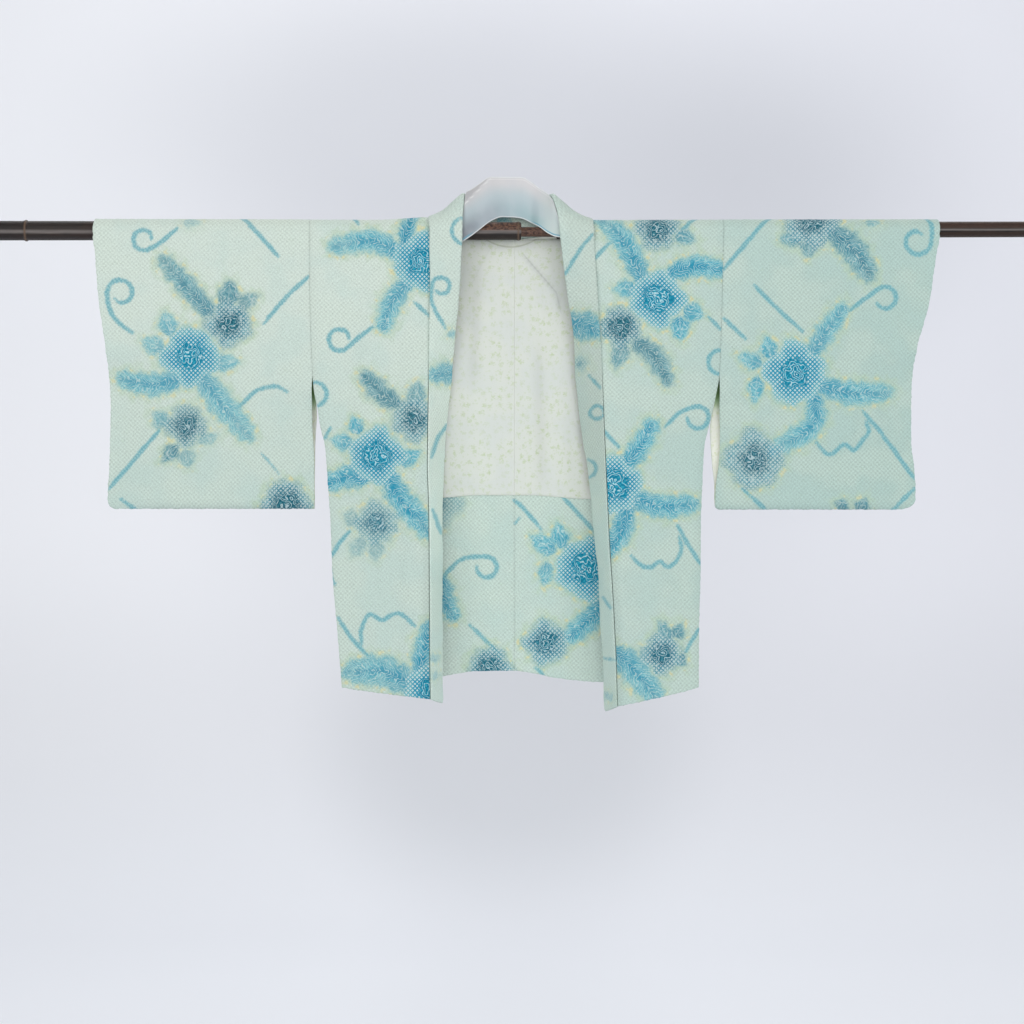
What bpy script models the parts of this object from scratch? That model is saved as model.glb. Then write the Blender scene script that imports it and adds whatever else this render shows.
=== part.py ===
"""A short haori jacket of tie-dyed crepe, hung flat and open on a bamboo pole.

Millimetres in the tables, metres in the meshes. +Z is up, the pole lies along X
and the jacket's front faces -Y. The origin is on the pole's axis at the middle
of the jacket. "_l" pieces are on the -X side, "_r" pieces on the +X side.

Every cloth piece is a middle surface worked out from the cut's named sizes and
thickened to its wall. Neighbours meet edge to edge with SEAM between them.
"""

import math

import bpy
import numpy as np

MM = 0.001

# ---------------------------------------------------------------- driving sizes
CLOTH = 2.0  # wall of crepe and lining sewn together
THIN = 1.0  # wall of a lining, a facing or the collar stay
SEAM = 0.3  # clearance between two pieces at a seam
REST = 1.2  # clearance between the pole and the cloth that hangs on it
ARMHOLE = -225.0  # height where the sleeve leaves the body
WRIST = -225.0  # height of the lower end of the wrist opening
GUSSET_TOP = -247.0  # height where the side gore starts
LINING_TOP = -16.0  # height of the back lining's hidden upper edge
CENTRE_X = -2.3  # the centre back seam
FOLD = 1.6  # half the distance between the collar's two layers at its fold
MOUTH = 2.0  # half the depth of the closed part of the sleeve's outer edge


def table(names, *rows):
    """Rows of numbers under named columns; the first column is the one looked up."""
    columns = [np.array(c, float) for c in zip(*rows)]
    order = np.argsort(columns[0])
    return {n: c[order] for n, c in zip(names.split(), columns)}


def read(tab, name, at):
    return float(np.interp(at, next(iter(tab.values())), tab[name]))


# ------------------------------------------------------------------- the pole
# Middle line and radius of each culm. The left one ends in a pared tenon that
# sits in the bore of the right one.
CULM_L = table(
    "x centre radius",
    (-815, -1.0, 14.95),
    (-400, -1.2, 14.15),
    (8, -1.7, 13.5),
)
CULM_R = table(
    "x centre radius",
    (62, -0.9, 12.9),
    (300, 0.0, 12.6),
    (797, 1.0, 11.9),
)
TENON = dict(end=100.0, centre=-3.0, radius=7.5)
BORE = dict(end=104.0, centre=-3.0, radius=7.8)
# Swollen rings of the bamboo.
NODES_L = table("x rise", (-749, 1.6), (-498, 0.3), (-247, 0.3), (3.6, 1.1))
NODES_R = table("x rise", (270, 0.3), (535, 0.3), (900, 0.0))
RING_SIDES = 24


def pole_radius(x):
    """Radius of the pole without its rings, smooth across the joint."""
    left, right = read(CULM_L, "radius", x), read(CULM_R, "radius", x)
    w = min(1.0, max(0.0, (x - 8) / 54))
    return left * (1 - w) + right * w


def pole_centre(x):
    left, right = read(CULM_L, "centre", x), read(CULM_R, "centre", x)
    w = min(1.0, max(0.0, (x - 8) / 54))
    return left * (1 - w) + right * w


def culm_rings(culm, nodes, start, end):
    """(x, centre, radius) down a culm, with a ring's shoulder, crest and groove."""
    xs = {start, end}
    for x, rise in zip(nodes["x"], nodes["rise"]):
        for off in (-7.0, -3.0, 0.0, 2.0, 3.4, 7.0):
            if start < x + off < end:
                xs.add(x + off)
    rings = []
    for x in sorted(xs):
        r = read(culm, "radius", x)
        for nx, rise in zip(nodes["x"], nodes["rise"]):
            d = x - nx
            if abs(d) < 7:
                r += rise * max(0.0, 1 - abs(d) / 5) - (0.5 if 2.5 < d < 4 else 0.0)
        rings.append((x, read(culm, "centre", x), r))
    return rings


# ------------------------------------------------------------------ the outlines
# Side of the body: the sleeve seam down to the armhole, then the side seam.
SIDE = table(
    "z left right",
    (20, -315.0, 317.0),
    (0, -315.0, 316.6),
    (-80, -314.7, 314.8),
    (-140, -313.4, 313.4),
    (-225, -309.8, 309.8),
    (-247, -308.0, 306.2),
    (-274, -302.5, 300.2),
    (-303, -298.0, 293.6),
    (-330, -291.0, 287.0),
    (-387, -287.2, 284.2),
    (-444, -284.2, 283.2),
    (-525, -280.0, 283.0),
    (-605, -272.5, 280.6),
    (-697, -266.6, 279.8),
)
# Half the depth of the hanging body at its sides, beyond the pole's own depth.
SIDE_SWELL = table(
    "z swell",
    (20, 0.0),
    (0, 0.0),
    (-60, -0.3),
    (-225, -1.5),
    (-247, -1.4),
    (-300, 1.5),
    (-400, 6.5),
    (-500, 10.5),
    (-600, 14.5),
    (-697, 17.5),
)
# The same along the front edge and down the centre back.
FRONT_SWELL = table(
    "z swell",
    (20, 0.0),
    (0, 0.0),
    (-30, 0.8),
    (-70, 2.2),
    (-120, 4.7),
    (-175, 7.5),
    (-225, 10.5),
    (-300, 14.5),
    (-420, 19.5),
    (-540, 24.0),
    (-650, 27.5),
    (-725, 29.0),
)
BACK_SWELL = table(
    "z swell",
    (20, 0.0),
    (8, 0.6),
    (0, 1.8),
    (-12, 4.5),
    (-60, 6.0),
    (-150, 9.0),
    (-300, 14.0),
    (-450, 18.0),
    (-600, 22.0),
    (-697, 24.0),
)
# Hems. The front one drops from the side seam to the collar.
FRONT_HEM = dict(left=(-696.0, -713.0), right=(-696.0, -722.5))
BACK_HEM = table(
    "x z",
    (-270, -696.5),
    (-112, -685.0),
    (-93, -681.5),
    (-64, -677.5),
    (-6, -676.6),
    (34, -682.0),
    (60, -687.5),
    (138, -694.5),
    (282, -696.0),
)
# Sleeves: outer edge (wrist), and the inner edge of the front and back layers.
SLEEVE_OUT = table(
    "z left right",
    (20, -642.4, 641.5),
    (12, -643.4, 645.2),
    (0, -644.9, 646.3),
    (-15, -644.4, 645.6),
    (-30, -642.1, 642.5),
    (-61, -639.5, 637.3),
    (-107, -635.8, 630.5),
    (-141, -630.6, 620.8),
    (-176, -625.5, 609.6),
    (-225, -621.9, 602.3),
    (-266, -619.6, 600.8),
    (-321, -620.4, 601.6),
    (-370, -621.0, 607.3),
    (-403, -623.0, 609.3),
    (-427, -623.2, 608.0),
)
SLEEVE_IN = table(
    "z left_front left_back right_front right_back",
    (-225, -310.1, -310.1, 310.1, 310.1),
    (-247, -311.6, -309.4, 310.8, 307.6),
    (-262, -311.5, -306.4, 310.9, 304.6),
    (-285, -311.2, -303.9, 311.0, 299.4),
    (-306, -310.8, -303.6, 311.6, 296.9),
    (-330, -308.4, -306.2, 311.5, 298.2),
    (-360, -308.2, -307.6, 309.6, 300.4),
    (-392, -308.1, -308.1, 305.4, 303.6),
    (-427, -308.1, -308.1, 304.0, 304.0),
)
# Half the depth of a sleeve down its middle, less the pole's own depth.
SLEEVE_SWELL = table(
    "z swell",
    (20, 0.0),
    (0, 0.0),
    (-100, -1.0),
    (-225, -3.5),
    (-300, -5.0),
    (-380, -7.0),
    (-427, -8.6),
)
SLEEVE_BOTTOM = dict(left=-425.7, right=-426.8)
SLEEVE_CORNER = dict(left=(13.0, 13.0, 0.0), right=(26.0, 13.0, 8.0))  # outer wide, tall; inner

# ------------------------------------------------------------------- the collar
# Seam to the body, fold and free edge round the neck. "row" is the body's row.
NECK_L = (
    # row seam_x  fold_x fold_y fold_z  edge_x edge_y edge_z
    ("b-12", -2.5, -2.3, 30.0, 46.0, -2.3, 31.0, -15.0),
    ("b-6", -60.0, -32.0, 27.5, 48.5, -78.0, 28.5, -10.0),
    ("b1.00", -80.0, -50.0, 23.0, 51.0, -106.0, 25.0, -2.0),
    ("b0.72", -92.0, -62.0, 17.0, 53.0, -121.0, 20.3, 9.5),
    ("b0.36", -100.0, -72.0, 9.0, 54.5, -130.0, 12.2, 16.6),
    ("top", -104.0, -80.5, -1.0, 55.0, -134.0, 0.0, 20.8),
    ("f0.36", -106.0, -81.5, -12.0, 38.0, -134.0, -12.2, 17.0),
    ("f0.72", -109.0, -82.0, -20.0, 18.0, -133.0, -20.0, 9.0),
    ("f1.00", -112.0, -82.6, -24.0, -3.0, -131.6, -21.8, 0.0),
)
NECK_R = (
    ("b-12", -2.1, -2.3, 30.0, 46.0, -2.3, 31.0, -15.0),
    ("b-6", 50.0, 22.0, 27.5, 47.5, 66.0, 28.0, -10.0),
    ("b1.00", 66.0, 32.0, 23.0, 49.5, 90.0, 24.0, -2.0),
    ("b0.72", 76.0, 41.0, 17.0, 51.5, 103.0, 19.6, 9.0),
    ("b0.36", 82.0, 48.5, 9.0, 53.0, 110.0, 11.8, 15.8),
    ("top", 86.0, 55.0, -1.0, 53.6, 114.0, 0.0, 19.8),
    ("f0.36", 88.5, 60.0, -11.0, 42.0, 117.0, -12.0, 16.8),
    ("f0.72", 93.0, 65.0, -19.0, 20.0, 118.0, -19.2, 8.6),
    ("f1.00", 99.0, 67.4, -23.0, -2.0, 118.9, -20.8, 0.0),
)
# The same down the fronts, by height: the seam, the fold, and how far the free
# edge is lifted off the seam and reaches past it.
FRONT_L = table(
    "z seam_x fold_x fold_y lift over",
    (-30, -118.5, -83.2, -22.0, 5.5, 13.0),
    (-70, -124.5, -85.5, -14.0, 5.0, 7.0),
    (-120, -129.2, -90.0, -3.0, 4.4, 4.0),
    (-175, -131.5, -95.5, 7.5, 3.8, 3.0),
    (-225, -132.8, -100.2, 13.5, 3.5, 2.0),
    (-300, -134.3, -108.2, 18.0, 3.3, 1.5),
    (-360, -135.0, -112.2, 18.8, 3.3, 1.5),
    (-420, -133.0, -114.4, 17.8, 3.3, 1.5),
    (-480, -132.2, -114.9, 16.5, 3.3, 1.5),
    (-540, -131.9, -114.8, 15.0, 3.3, 1.5),
    (-600, -131.5, -114.5, 13.5, 3.3, 1.5),
    (-650, -131.1, -114.3, 12.0, 3.3, 1.5),
    (-725, -130.0, -113.0, 10.0, 3.3, 1.5),
)
FRONT_R = table(
    "z seam_x fold_x fold_y lift over",
    (-30, 107.0, 69.6, -21.0, 5.5, 12.5),
    (-70, 115.0, 75.3, -13.0, 5.0, 8.0),
    (-120, 122.5, 83.0, -2.0, 4.4, 4.5),
    (-175, 128.0, 90.4, 7.0, 3.8, 3.0),
    (-225, 131.0, 92.8, 12.0, 3.5, 2.0),
    (-300, 134.3, 101.0, 15.5, 3.3, 1.5),
    (-360, 136.8, 111.2, 16.5, 3.3, 1.5),
    (-420, 139.5, 117.6, 16.0, 3.3, 1.5),
    (-480, 142.3, 123.4, 15.0, 3.3, 1.5),
    (-540, 146.3, 129.2, 14.0, 3.3, 1.5),
    (-600, 149.5, 131.4, 12.5, 3.3, 1.5),
    (-650, 151.9, 135.2, 11.5, 3.3, 1.5),
    (-735, 154.3, 137.4, 9.0, 3.3, 1.5),
)
FOLD_DROP = dict(left=10.0, right=11.5)  # how much lower the fold ends than the seam
# The stay's lower and upper edge, from the viewer's left to right.
STAY = table(
    "n low_x low_y low_z  high_x high_y high_z bow",
    (0, -84.6, -18.6, -22.5, -77.6, -4.0, 54.0, -2.6),
    (1, -78.0, -18.8, -18.0, -76.0, -2.0, 58.6, -3.0),
    (2, -67.3, -18.8, -10.7, -68.0, 4.0, 63.6, -3.0),
    (3, -52.3, -17.6, 1.1, -55.0, 11.0, 71.4, -2.0),
    (4, -37.6, -9.0, 12.9, -39.2, 17.0, 81.0, 0.0),
    (5, -21.0, 2.0, 19.9, -24.0, 22.0, 81.0, 0.0),
    (6, -6.0, 9.0, 20.2, -8.0, 23.5, 81.0, 0.0),
    (7, 8.0, 10.0, 18.6, 9.9, 23.0, 81.0, 0.0),
    (8, 22.0, 6.0, 12.0, 24.0, 18.0, 72.8, 0.0),
    (9, 36.0, -6.6, 3.4, 38.0, 10.0, 64.0, -0.5),
    (10, 49.0, -12.5, -6.6, 48.0, 2.5, 56.6, -2.0),
    (11, 60.0, -16.4, -12.0, 52.0, -1.8, 50.0, -2.5),
    (12, 69.6, -17.4, -13.6, 55.5, -5.0, 43.5, -2.0),
)

# Rows of the cloth: arc rows over the pole, then heights.
ARC_ROWS = (0.36, 0.72, 1.0)
HANG_ROWS = (-30, -70, -120, -175, -225, -247, -300, -360, -420, -480, -540, -600, -650)
BODY_COLUMNS = (0.0, 0.14, 0.32, 0.5, 0.68, 0.86, 1.0)
SLEEVE_HEIGHTS = (-30, -70, -120, -175, -225, -247, -285, -330, -370, -400)
SLEEVE_STATIONS = (0.0, 0.1, 0.28, 0.48, 0.68, 0.85, 0.96, 1.0)


def ease(u):
    u = min(1.0, max(0.0, u))
    return u * u * (3 - 2 * u)


def hang_radius(x):
    return pole_radius(x) + REST + CLOTH / 2


def drape(x, level, face, swell):
    """A point of cloth hung over the pole. level 0 is the top line, 1 the height
    of the axis, and a negative level is a height below it. face is -1 in front
    and 1 behind; swell is how far the cloth stands off the pole's own depth."""
    r, c = hang_radius(x), pole_centre(x)
    if level >= 0:
        a = level * math.pi / 2
        r += swell * level
        return np.array((x, face * r * math.sin(a), c + r * math.cos(a)))
    z = level + c * math.exp(level / 20)
    return np.array((x, face * (r + swell), z))


# ---------------------------------------------------------------- body widths
def height_of(level):
    """The height that a level stands for when a table is read."""
    return level if level < 0 else 18 * (1 - level)


def neck_seam(side, face, level):
    """x of the body's inner edge where the collar is sewn on, by row."""
    rows = NECK_L if side == "left" else NECK_R
    if face < 0 and level < 0:
        return read(FRONT_L if side == "left" else FRONT_R, "seam_x", level)
    if face > 0 and level < -12:
        return CENTRE_X + (-SEAM / 2 if side == "left" else SEAM / 2)
    name = (
        "top"
        if level == 0
        else ("f" if face < 0 else "b") + (f"{level:.2f}" if level > 0 else f"{level:.0f}")
    )
    return next(r[1] for r in rows if r[0] == name)


def body_point(side, face, level, u):
    """u is 0 at the side and 1 at the inner edge."""
    h = height_of(level)
    outer = read(SIDE, side, h)
    inner = neck_seam(side, face, level)
    x = outer + (inner - outer) * u
    swell = read(SIDE_SWELL, "swell", h) * (1 - ease(u)) + ease(u) * read(
        FRONT_SWELL if face < 0 else BACK_SWELL, "swell", h
    )
    return drape(x, level, face, swell)


def hem_height(side, face, x, u):
    if face > 0:
        return read(BACK_HEM, "z", x)
    at_side, at_seam = FRONT_HEM[side]
    return at_side + (at_seam - at_side) * u**0.85


def body_row(side, face, level):
    return [body_point(side, face, level, u) for u in BODY_COLUMNS]


def hem_row(side, face):
    row = []
    for u in BODY_COLUMNS:
        p = body_point(side, face, -690.0, u)
        z = hem_height(side, face, p[0], u)
        row.append(body_point(side, face, z, u))
    return row


def front_levels():
    return list(ARC_ROWS) + list(HANG_ROWS)


def back_levels():
    return list(ARC_ROWS) + [-6, -12] + list(HANG_ROWS)


def body_surface(side):
    """From the front hem up over the pole and down to the back hem."""
    rows = [hem_row(side, -1)]
    rows += [body_row(side, -1, v) for v in reversed(front_levels())]
    rows.append(body_row(side, 1, 0))
    rows += [body_row(side, 1, v) for v in back_levels()]
    rows.append(hem_row(side, 1))
    return np.array(rows)


# --------------------------------------------------------------------- sleeves
def rounded(dx, dz, wide, tall):
    """Pulls a point near a square corner onto a rounded one. dx and dz are the
    distances from the two edges."""
    if wide <= 0 or dx >= wide or dz >= tall:
        return dx, dz
    a, b = 1 - dx / wide, 1 - dz / tall
    return wide * (1 - a * math.sqrt(1 - b * b / 2)), tall * (1 - b * math.sqrt(1 - a * a / 2))


def sleeve_point(side, face, level, u, up=None):
    """u is 0 at the body and 1 at the wrist. up is the height above the bottom
    fold, for the rows that turn it."""
    sign = -1 if side == "left" else 1
    bottom = SLEEVE_BOTTOM[side]
    h = height_of(level)
    if h >= ARMHOLE:
        inner = read(SIDE, side, h) + sign * SEAM
    else:
        inner = read(SLEEVE_IN, f"{side}_{'front' if face < 0 else 'back'}", h)
    outer = read(SLEEVE_OUT, side, h)
    x = inner + (outer - inner) * u
    if level < -380:
        wide, tall, inner_round = SLEEVE_CORNER[side]
        dx, dz = rounded(abs(outer - x), level - bottom, wide, tall)
        x, level = outer - sign * dx, bottom + dz
        if inner_round:
            dx, dz = rounded(abs(x - inner), level - bottom, inner_round, inner_round)
            x, level = inner + sign * dx, bottom + dz
    at_body = read(SIDE_SWELL, "swell", max(h, ARMHOLE))
    if h < ARMHOLE:
        at_body = read(SLEEVE_SWELL, "swell", h) + 2.0 * (1 - ease((ARMHOLE - h) / 200))
    swell = at_body + (read(SLEEVE_SWELL, "swell", h) - at_body) * ease(u / 0.35)
    p = drape(x, level, face, swell)
    shut = ease((u - 0.72) / 0.28) * ease((WRIST + 45 - h) / 45)
    depth = abs(p[1]) * (1 - shut) + MOUTH * shut if h < 0 else abs(p[1])
    if up is not None:
        depth *= math.sqrt(max(0.0, 1 - (1 - min(1.0, up / 14)) ** 2))
    p[1] = face * depth
    return p


def sleeve_rows(side):
    """(face, level, up) from the bottom fold up the front, over and down the back."""
    bottom = SLEEVE_BOTTOM[side]
    lows = [(bottom + up, up) for up in (2.0, 7.0, 14.0)]
    front = [(-1, z, up) for z, up in lows]
    front += [(-1, z, None) for z in reversed(SLEEVE_HEIGHTS)]
    front += [(-1, v, None) for v in reversed(ARC_ROWS)]
    back = [(1, f[1], f[2]) for f in reversed(front)]
    return [(-1, bottom, 0.0), *front, (1, 0, None), *back]


def sleeve_mesh(side):
    """A tube round the section, open at the body and at the wrist, whose outer
    edge is closed below the wrist opening."""
    rows = sleeve_rows(side)
    stations = SLEEVE_STATIONS
    points = np.array(
        [[sleeve_point(side, f, v, u, up) for u in stations] for f, v, up in rows]
    )
    n, m = len(rows), len(stations)
    faces = []
    for i in range(n):
        j = (i + 1) % n
        for k in range(m - 1):
            faces.append((i * m + k, i * m + k + 1, j * m + k + 1, j * m + k))
    low = [i for i, (f, v, up) in enumerate(rows) if f < 0 and v <= WRIST]
    for i in low[:-1]:
        a, b = i * m + m - 1, (i + 1) * m + m - 1
        c, d = ((n - i - 1 + 1) % n) * m + m - 1, (n - i - 1) * m + m - 1
        if i == 0:
            faces.append((b, a, d))
        else:
            faces.append((b, a, c, d))
    return points.reshape(-1, 3), faces


def sleeve_lining_surface(side):
    levels = [LINING_TOP - 4, *[z for z in SLEEVE_HEIGHTS if z < -20], SLEEVE_BOTTOM[side] + 14]
    stations = [u for u in SLEEVE_STATIONS if u < 0.9]
    return np.array([[sleeve_point(side, 1, v, u) for u in stations] for v in levels])


# ---------------------------------------------------------------------- collar
def unit(v):
    return v / max(1e-9, float(np.linalg.norm(v)))


def collar_stations():
    """(seam, fold, edge, body) from the left hem round the neck to the right hem.
    body is a point of the body panel beside the seam."""
    out = []
    for side, neck, front in (("left", NECK_L, FRONT_L), ("right", NECK_R, FRONT_R)):
        part = []
        for level in ["hem", *reversed(HANG_ROWS)]:
            if level == "hem":
                z = FRONT_HEM[side][1]
                drop = FOLD_DROP[side]
            else:
                z = level
                drop = FOLD_DROP[side] * ease((-420 - z) / 300)
            seam = body_point(side, -1, z, 1.0)
            beside = body_point(side, -1, z, BODY_COLUMNS[-2])
            fold = np.array((read(front, "fold_x", z), read(front, "fold_y", z), z - drop))
            ux, uy = unit((fold - seam)[:2])
            across = np.array((uy, -ux)) if side == "left" else np.array((-uy, ux))
            flat = seam[:2] + across * read(front, "lift", z)
            flat = flat - np.array((ux, uy)) * read(front, "over", z)
            edge = np.array((*flat, z - 0.1 * drop))
            part.append((seam, fold, edge, beside))
        for row in reversed(neck):
            name, _, fx, fy, fz, ex, ey, ez = row
            face = -1 if name[0] == "f" else 1
            level = 0 if name == "top" else float(name[1:])
            seam = body_point(side, face, level, 1.0)
            beside = body_point(side, face, level, BODY_COLUMNS[-2])
            part.append((seam, np.array((fx, fy, fz)), np.array((ex, ey, ez)), beside))
        if side == "left":
            out += part
        else:
            out += list(reversed(part))[1:]
    return out


LEG = (0.0, 0.34, 0.68, 1.0)


def collar_surface():
    """Columns run from the seam up the inner layer, round the fold and down the
    outer layer to the free edge."""
    stations = collar_stations()
    rows = []
    for seam, fold, edge, beside in stations:
        up = unit(fold - seam)
        turn = float(np.dot(unit(seam - beside), up))
        start = seam + up * (SEAM + 0.1 + CLOTH / 2 * math.sqrt(max(0.0, 1 - min(1.0, turn) ** 2)))
        out = edge - seam
        normal = unit(out - up * float(np.dot(out, up)))
        near = fold - up * FOLD - normal * FOLD
        far = fold - up * FOLD + normal * FOLD
        inner = [start + (near - start) * t for t in LEG]
        outer = [far + (edge - far) * t for t in LEG]
        rows.append([*inner, fold, *outer])
    return np.array(rows)


# ---------------------------------------------------------------- other pieces
def gusset_surface(side):
    """Side gore: butts against the inner faces of the front and the back."""
    sign = -1 if side == "left" else 1
    rows = []
    for level in [GUSSET_TOP, *[z for z in HANG_ROWS if z < GUSSET_TOP], -694.0]:
        x = read(SIDE, side, level)
        reach = drape(x, level, 1, read(SIDE_SWELL, "swell", level))
        y, z = reach[1] - CLOTH / 2 - SEAM, reach[2]
        dent = 3.0 * ease((GUSSET_TOP - level) / 150)
        rows.append(
            [
                (x - sign * (CLOTH / 2 + dent * (1 - t * t)), y * t, z)
                for t in (-1.0, -0.5, 0.0, 0.5, 1.0)
            ]
        )
    return np.array(rows, float)


def normals_of(grid):
    du = np.gradient(grid, axis=1)
    dv = np.gradient(grid, axis=0)
    n = np.cross(du, dv)
    return n / np.linalg.norm(n, axis=2, keepdims=True)


def lining_surfaces(side):
    """The back lining and the hem facing: the back panel's own points, moved
    towards the front by half of each wall and the seam's clearance."""
    move = CLOTH / 2 + SEAM + THIN / 2
    columns = [0.012, *BODY_COLUMNS[1:]]
    split = [read(LINING_FOOT, "z", body_point(side, 1, -409.0, u)[0]) for u in columns]

    def row(level):
        return [body_point(side, 1, level, u) for u in columns]

    upper = [row(v) for v in (LINING_TOP, *[z for z in HANG_ROWS if z > -400])]
    upper.append([body_point(side, 1, z + SEAM / 2, u) for z, u in zip(split, columns)])
    lower = [[body_point(side, 1, z - SEAM / 2, u) for z, u in zip(split, columns)]]
    lower += [row(v) for v in HANG_ROWS if v < -430]
    last = []
    for u in columns:
        z = hem_height(side, 1, body_point(side, 1, -690.0, u)[0], u)
        last.append(body_point(side, 1, z, u))
    lower.append(last)
    out = []
    for rows in (upper, lower):
        grid = np.array(rows)
        n = normals_of(grid)
        n *= np.where(n[:, :, 1:2] > 0, -1.0, 1.0)
        out.append(grid + n * move)
    return out


# Foot of the back lining, where the facing starts.
LINING_FOOT = table(
    "x z", (-285, -411.0), (-114, -409.2), (-60, -405.6), (20, -405.6), (100, -411.0), (283, -415.0)
)


def stay_surface():
    rows = []
    for n in STAY["n"]:
        low = np.array([read(STAY, f"low_{a}", n) for a in "xyz"])
        high = np.array([read(STAY, f"high_{a}", n) for a in "xyz"])
        bow = np.array((0.0, read(STAY, "bow", n), 0.0))
        rows.append(
            [low + (high - low) * t + bow * math.sin(math.pi * t) for t in (0.0, 0.34, 0.67, 1.0)]
        )
    return np.array(rows)


# -------------------------------------------------------------------- building
COLOURS = {
    "crepe": ((0.56, 0.74, 0.68, 1), 0.85, 0.0),
    "lining": ((0.78, 0.80, 0.70, 1), 0.6, 0.0),
    "stay": ((0.62, 0.74, 0.80, 1), 0.35, 0.0),
    "bamboo": ((0.06, 0.035, 0.025, 1), 0.4, 0.0),
}


def material(name, look):
    colour, rough, metal = COLOURS[look]
    mat = bpy.data.materials.new(name)
    mat.use_nodes = True
    shader = mat.node_tree.nodes["Principled BSDF"]
    shader.inputs["Base Color"].default_value = colour
    shader.inputs["Roughness"].default_value = rough
    shader.inputs["Metallic"].default_value = metal
    return mat


def add(name, points, faces, look, wall=None):
    mesh = bpy.data.meshes.new(name)
    mesh.from_pydata([tuple(float(c) * MM for c in p) for p in points], [], faces)
    mesh.validate()
    obj = bpy.data.objects.new(name, mesh)
    bpy.context.scene.collection.objects.link(obj)
    mesh.materials.append(material(name, look))
    if wall:
        mod = obj.modifiers.new("wall", "SOLIDIFY")
        mod.thickness = wall * MM
        mod.offset = 0.0
        mod.use_rim = True
        mod.use_even_offset = True
        mod.use_quality_normals = True
    mesh.shade_smooth()
    return obj


def add_sheet(name, grid, look, wall, flip=False):
    n, m = grid.shape[:2]
    faces = []
    for i in range(n - 1):
        for k in range(m - 1):
            quad = (i * m + k, i * m + k + 1, (i + 1) * m + k + 1, (i + 1) * m + k)
            faces.append(tuple(reversed(quad)) if flip else quad)
    return add(name, grid.reshape(-1, 3), faces, look, wall)


def add_culm(name, rings, bore=None):
    """A closed turned piece from rings (x, centre, radius), with a blind bore in
    its first face if bore is given as rings too."""
    points, faces = [], []
    loops = list(rings) if bore is None else [*reversed(bore), *rings]
    for x, centre, r in loops:
        for k in range(RING_SIDES):
            a = 2 * math.pi * k / RING_SIDES
            points.append((x, r * math.cos(a), centre + r * math.sin(a)))
    for i in range(len(loops) - 1):
        for k in range(RING_SIDES):
            j = (k + 1) % RING_SIDES
            a, b = i * RING_SIDES, (i + 1) * RING_SIDES
            faces.append((a + k, a + j, b + j, b + k))
    faces.append(tuple(reversed(range(RING_SIDES))))
    last = (len(loops) - 1) * RING_SIDES
    faces.append(tuple(last + k for k in range(RING_SIDES)))
    obj = add(name, points, faces, "bamboo")
    return obj


def build():
    for obj in list(bpy.data.objects):
        bpy.data.objects.remove(obj)

    rings = culm_rings(CULM_L, NODES_L, -815.0, 8.0)
    rings += [(8.0, TENON["centre"], TENON["radius"] + 0.6)]
    rings += [(9.0, TENON["centre"], TENON["radius"])]
    rings += [(TENON["end"], TENON["centre"], TENON["radius"])]
    add_culm("pole_left", rings)
    bore = [(62.0, BORE["centre"], BORE["radius"]), (BORE["end"], BORE["centre"], BORE["radius"])]
    add_culm("pole_right", culm_rings(CULM_R, NODES_R, 62.0, 797.0), bore)

    for side, s in (("left", "l"), ("right", "r")):
        add_sheet(f"body_{s}", body_surface(side), "crepe", CLOTH)
        add_sheet(f"gusset_{s}", gusset_surface(side), "crepe", CLOTH)
        points, faces = sleeve_mesh(side)
        add(f"sleeve_{s}", points, faces, "crepe", CLOTH)
        move = CLOTH / 2 + SEAM + THIN / 2
        grid = sleeve_lining_surface(side)
        n = normals_of(grid)
        n *= np.where(n[:, :, 1:2] > 0, -1.0, 1.0)
        add_sheet(f"sleeve_lining_{s}", grid + n * move, "lining", THIN)
        lining, facing = lining_surfaces(side)
        add_sheet(f"back_lining_{s}", lining, "lining", THIN)
        add_sheet(f"hem_facing_{s}", facing, "crepe", THIN)
    add_sheet("collar", collar_surface(), "crepe", CLOTH)
    add_sheet("collar_stay", stay_surface(), "stay", THIN)


build()
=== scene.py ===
"""Haori jacket of tie-dyed crepe on a bamboo pole: the visible model.

Tables are in millimetres in the part's own frame: X to the viewer's right, Z up,
the pole's axis at the origin, the jacket's front facing -Y.
"""

import math

import bpy
import numpy as np
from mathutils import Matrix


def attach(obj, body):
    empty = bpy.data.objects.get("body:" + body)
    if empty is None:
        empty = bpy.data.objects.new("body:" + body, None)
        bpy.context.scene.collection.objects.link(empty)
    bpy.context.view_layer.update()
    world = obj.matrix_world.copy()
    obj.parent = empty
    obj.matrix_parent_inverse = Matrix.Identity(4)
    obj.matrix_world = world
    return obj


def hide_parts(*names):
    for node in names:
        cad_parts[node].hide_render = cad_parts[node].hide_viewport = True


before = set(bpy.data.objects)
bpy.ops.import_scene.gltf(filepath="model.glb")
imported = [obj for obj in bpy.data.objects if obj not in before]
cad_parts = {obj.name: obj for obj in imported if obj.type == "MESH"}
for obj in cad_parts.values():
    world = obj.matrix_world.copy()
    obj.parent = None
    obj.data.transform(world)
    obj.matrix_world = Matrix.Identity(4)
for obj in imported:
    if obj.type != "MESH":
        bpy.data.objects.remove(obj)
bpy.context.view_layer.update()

MM = 0.001

# ------------------------------------------------------------------ the camera
EYE = 3.8  # metres from the pole's axis
PER_PIXEL = 0.00153  # metres a pixel at the pole's axis
camera_data = bpy.data.cameras.new("camera")
camera_data.sensor_width = 36.0
camera_data.lens = 36.0 * EYE / (1024 * PER_PIXEL)
camera_data.clip_end = 60.0
camera = bpy.data.objects.new("camera", camera_data)
bpy.context.scene.collection.objects.link(camera)
camera.location = (-0.00612, -EYE, -0.43146)
camera.rotation_euler = (math.pi / 2, 0.0, 0.0)
bpy.context.scene.camera = camera

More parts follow.
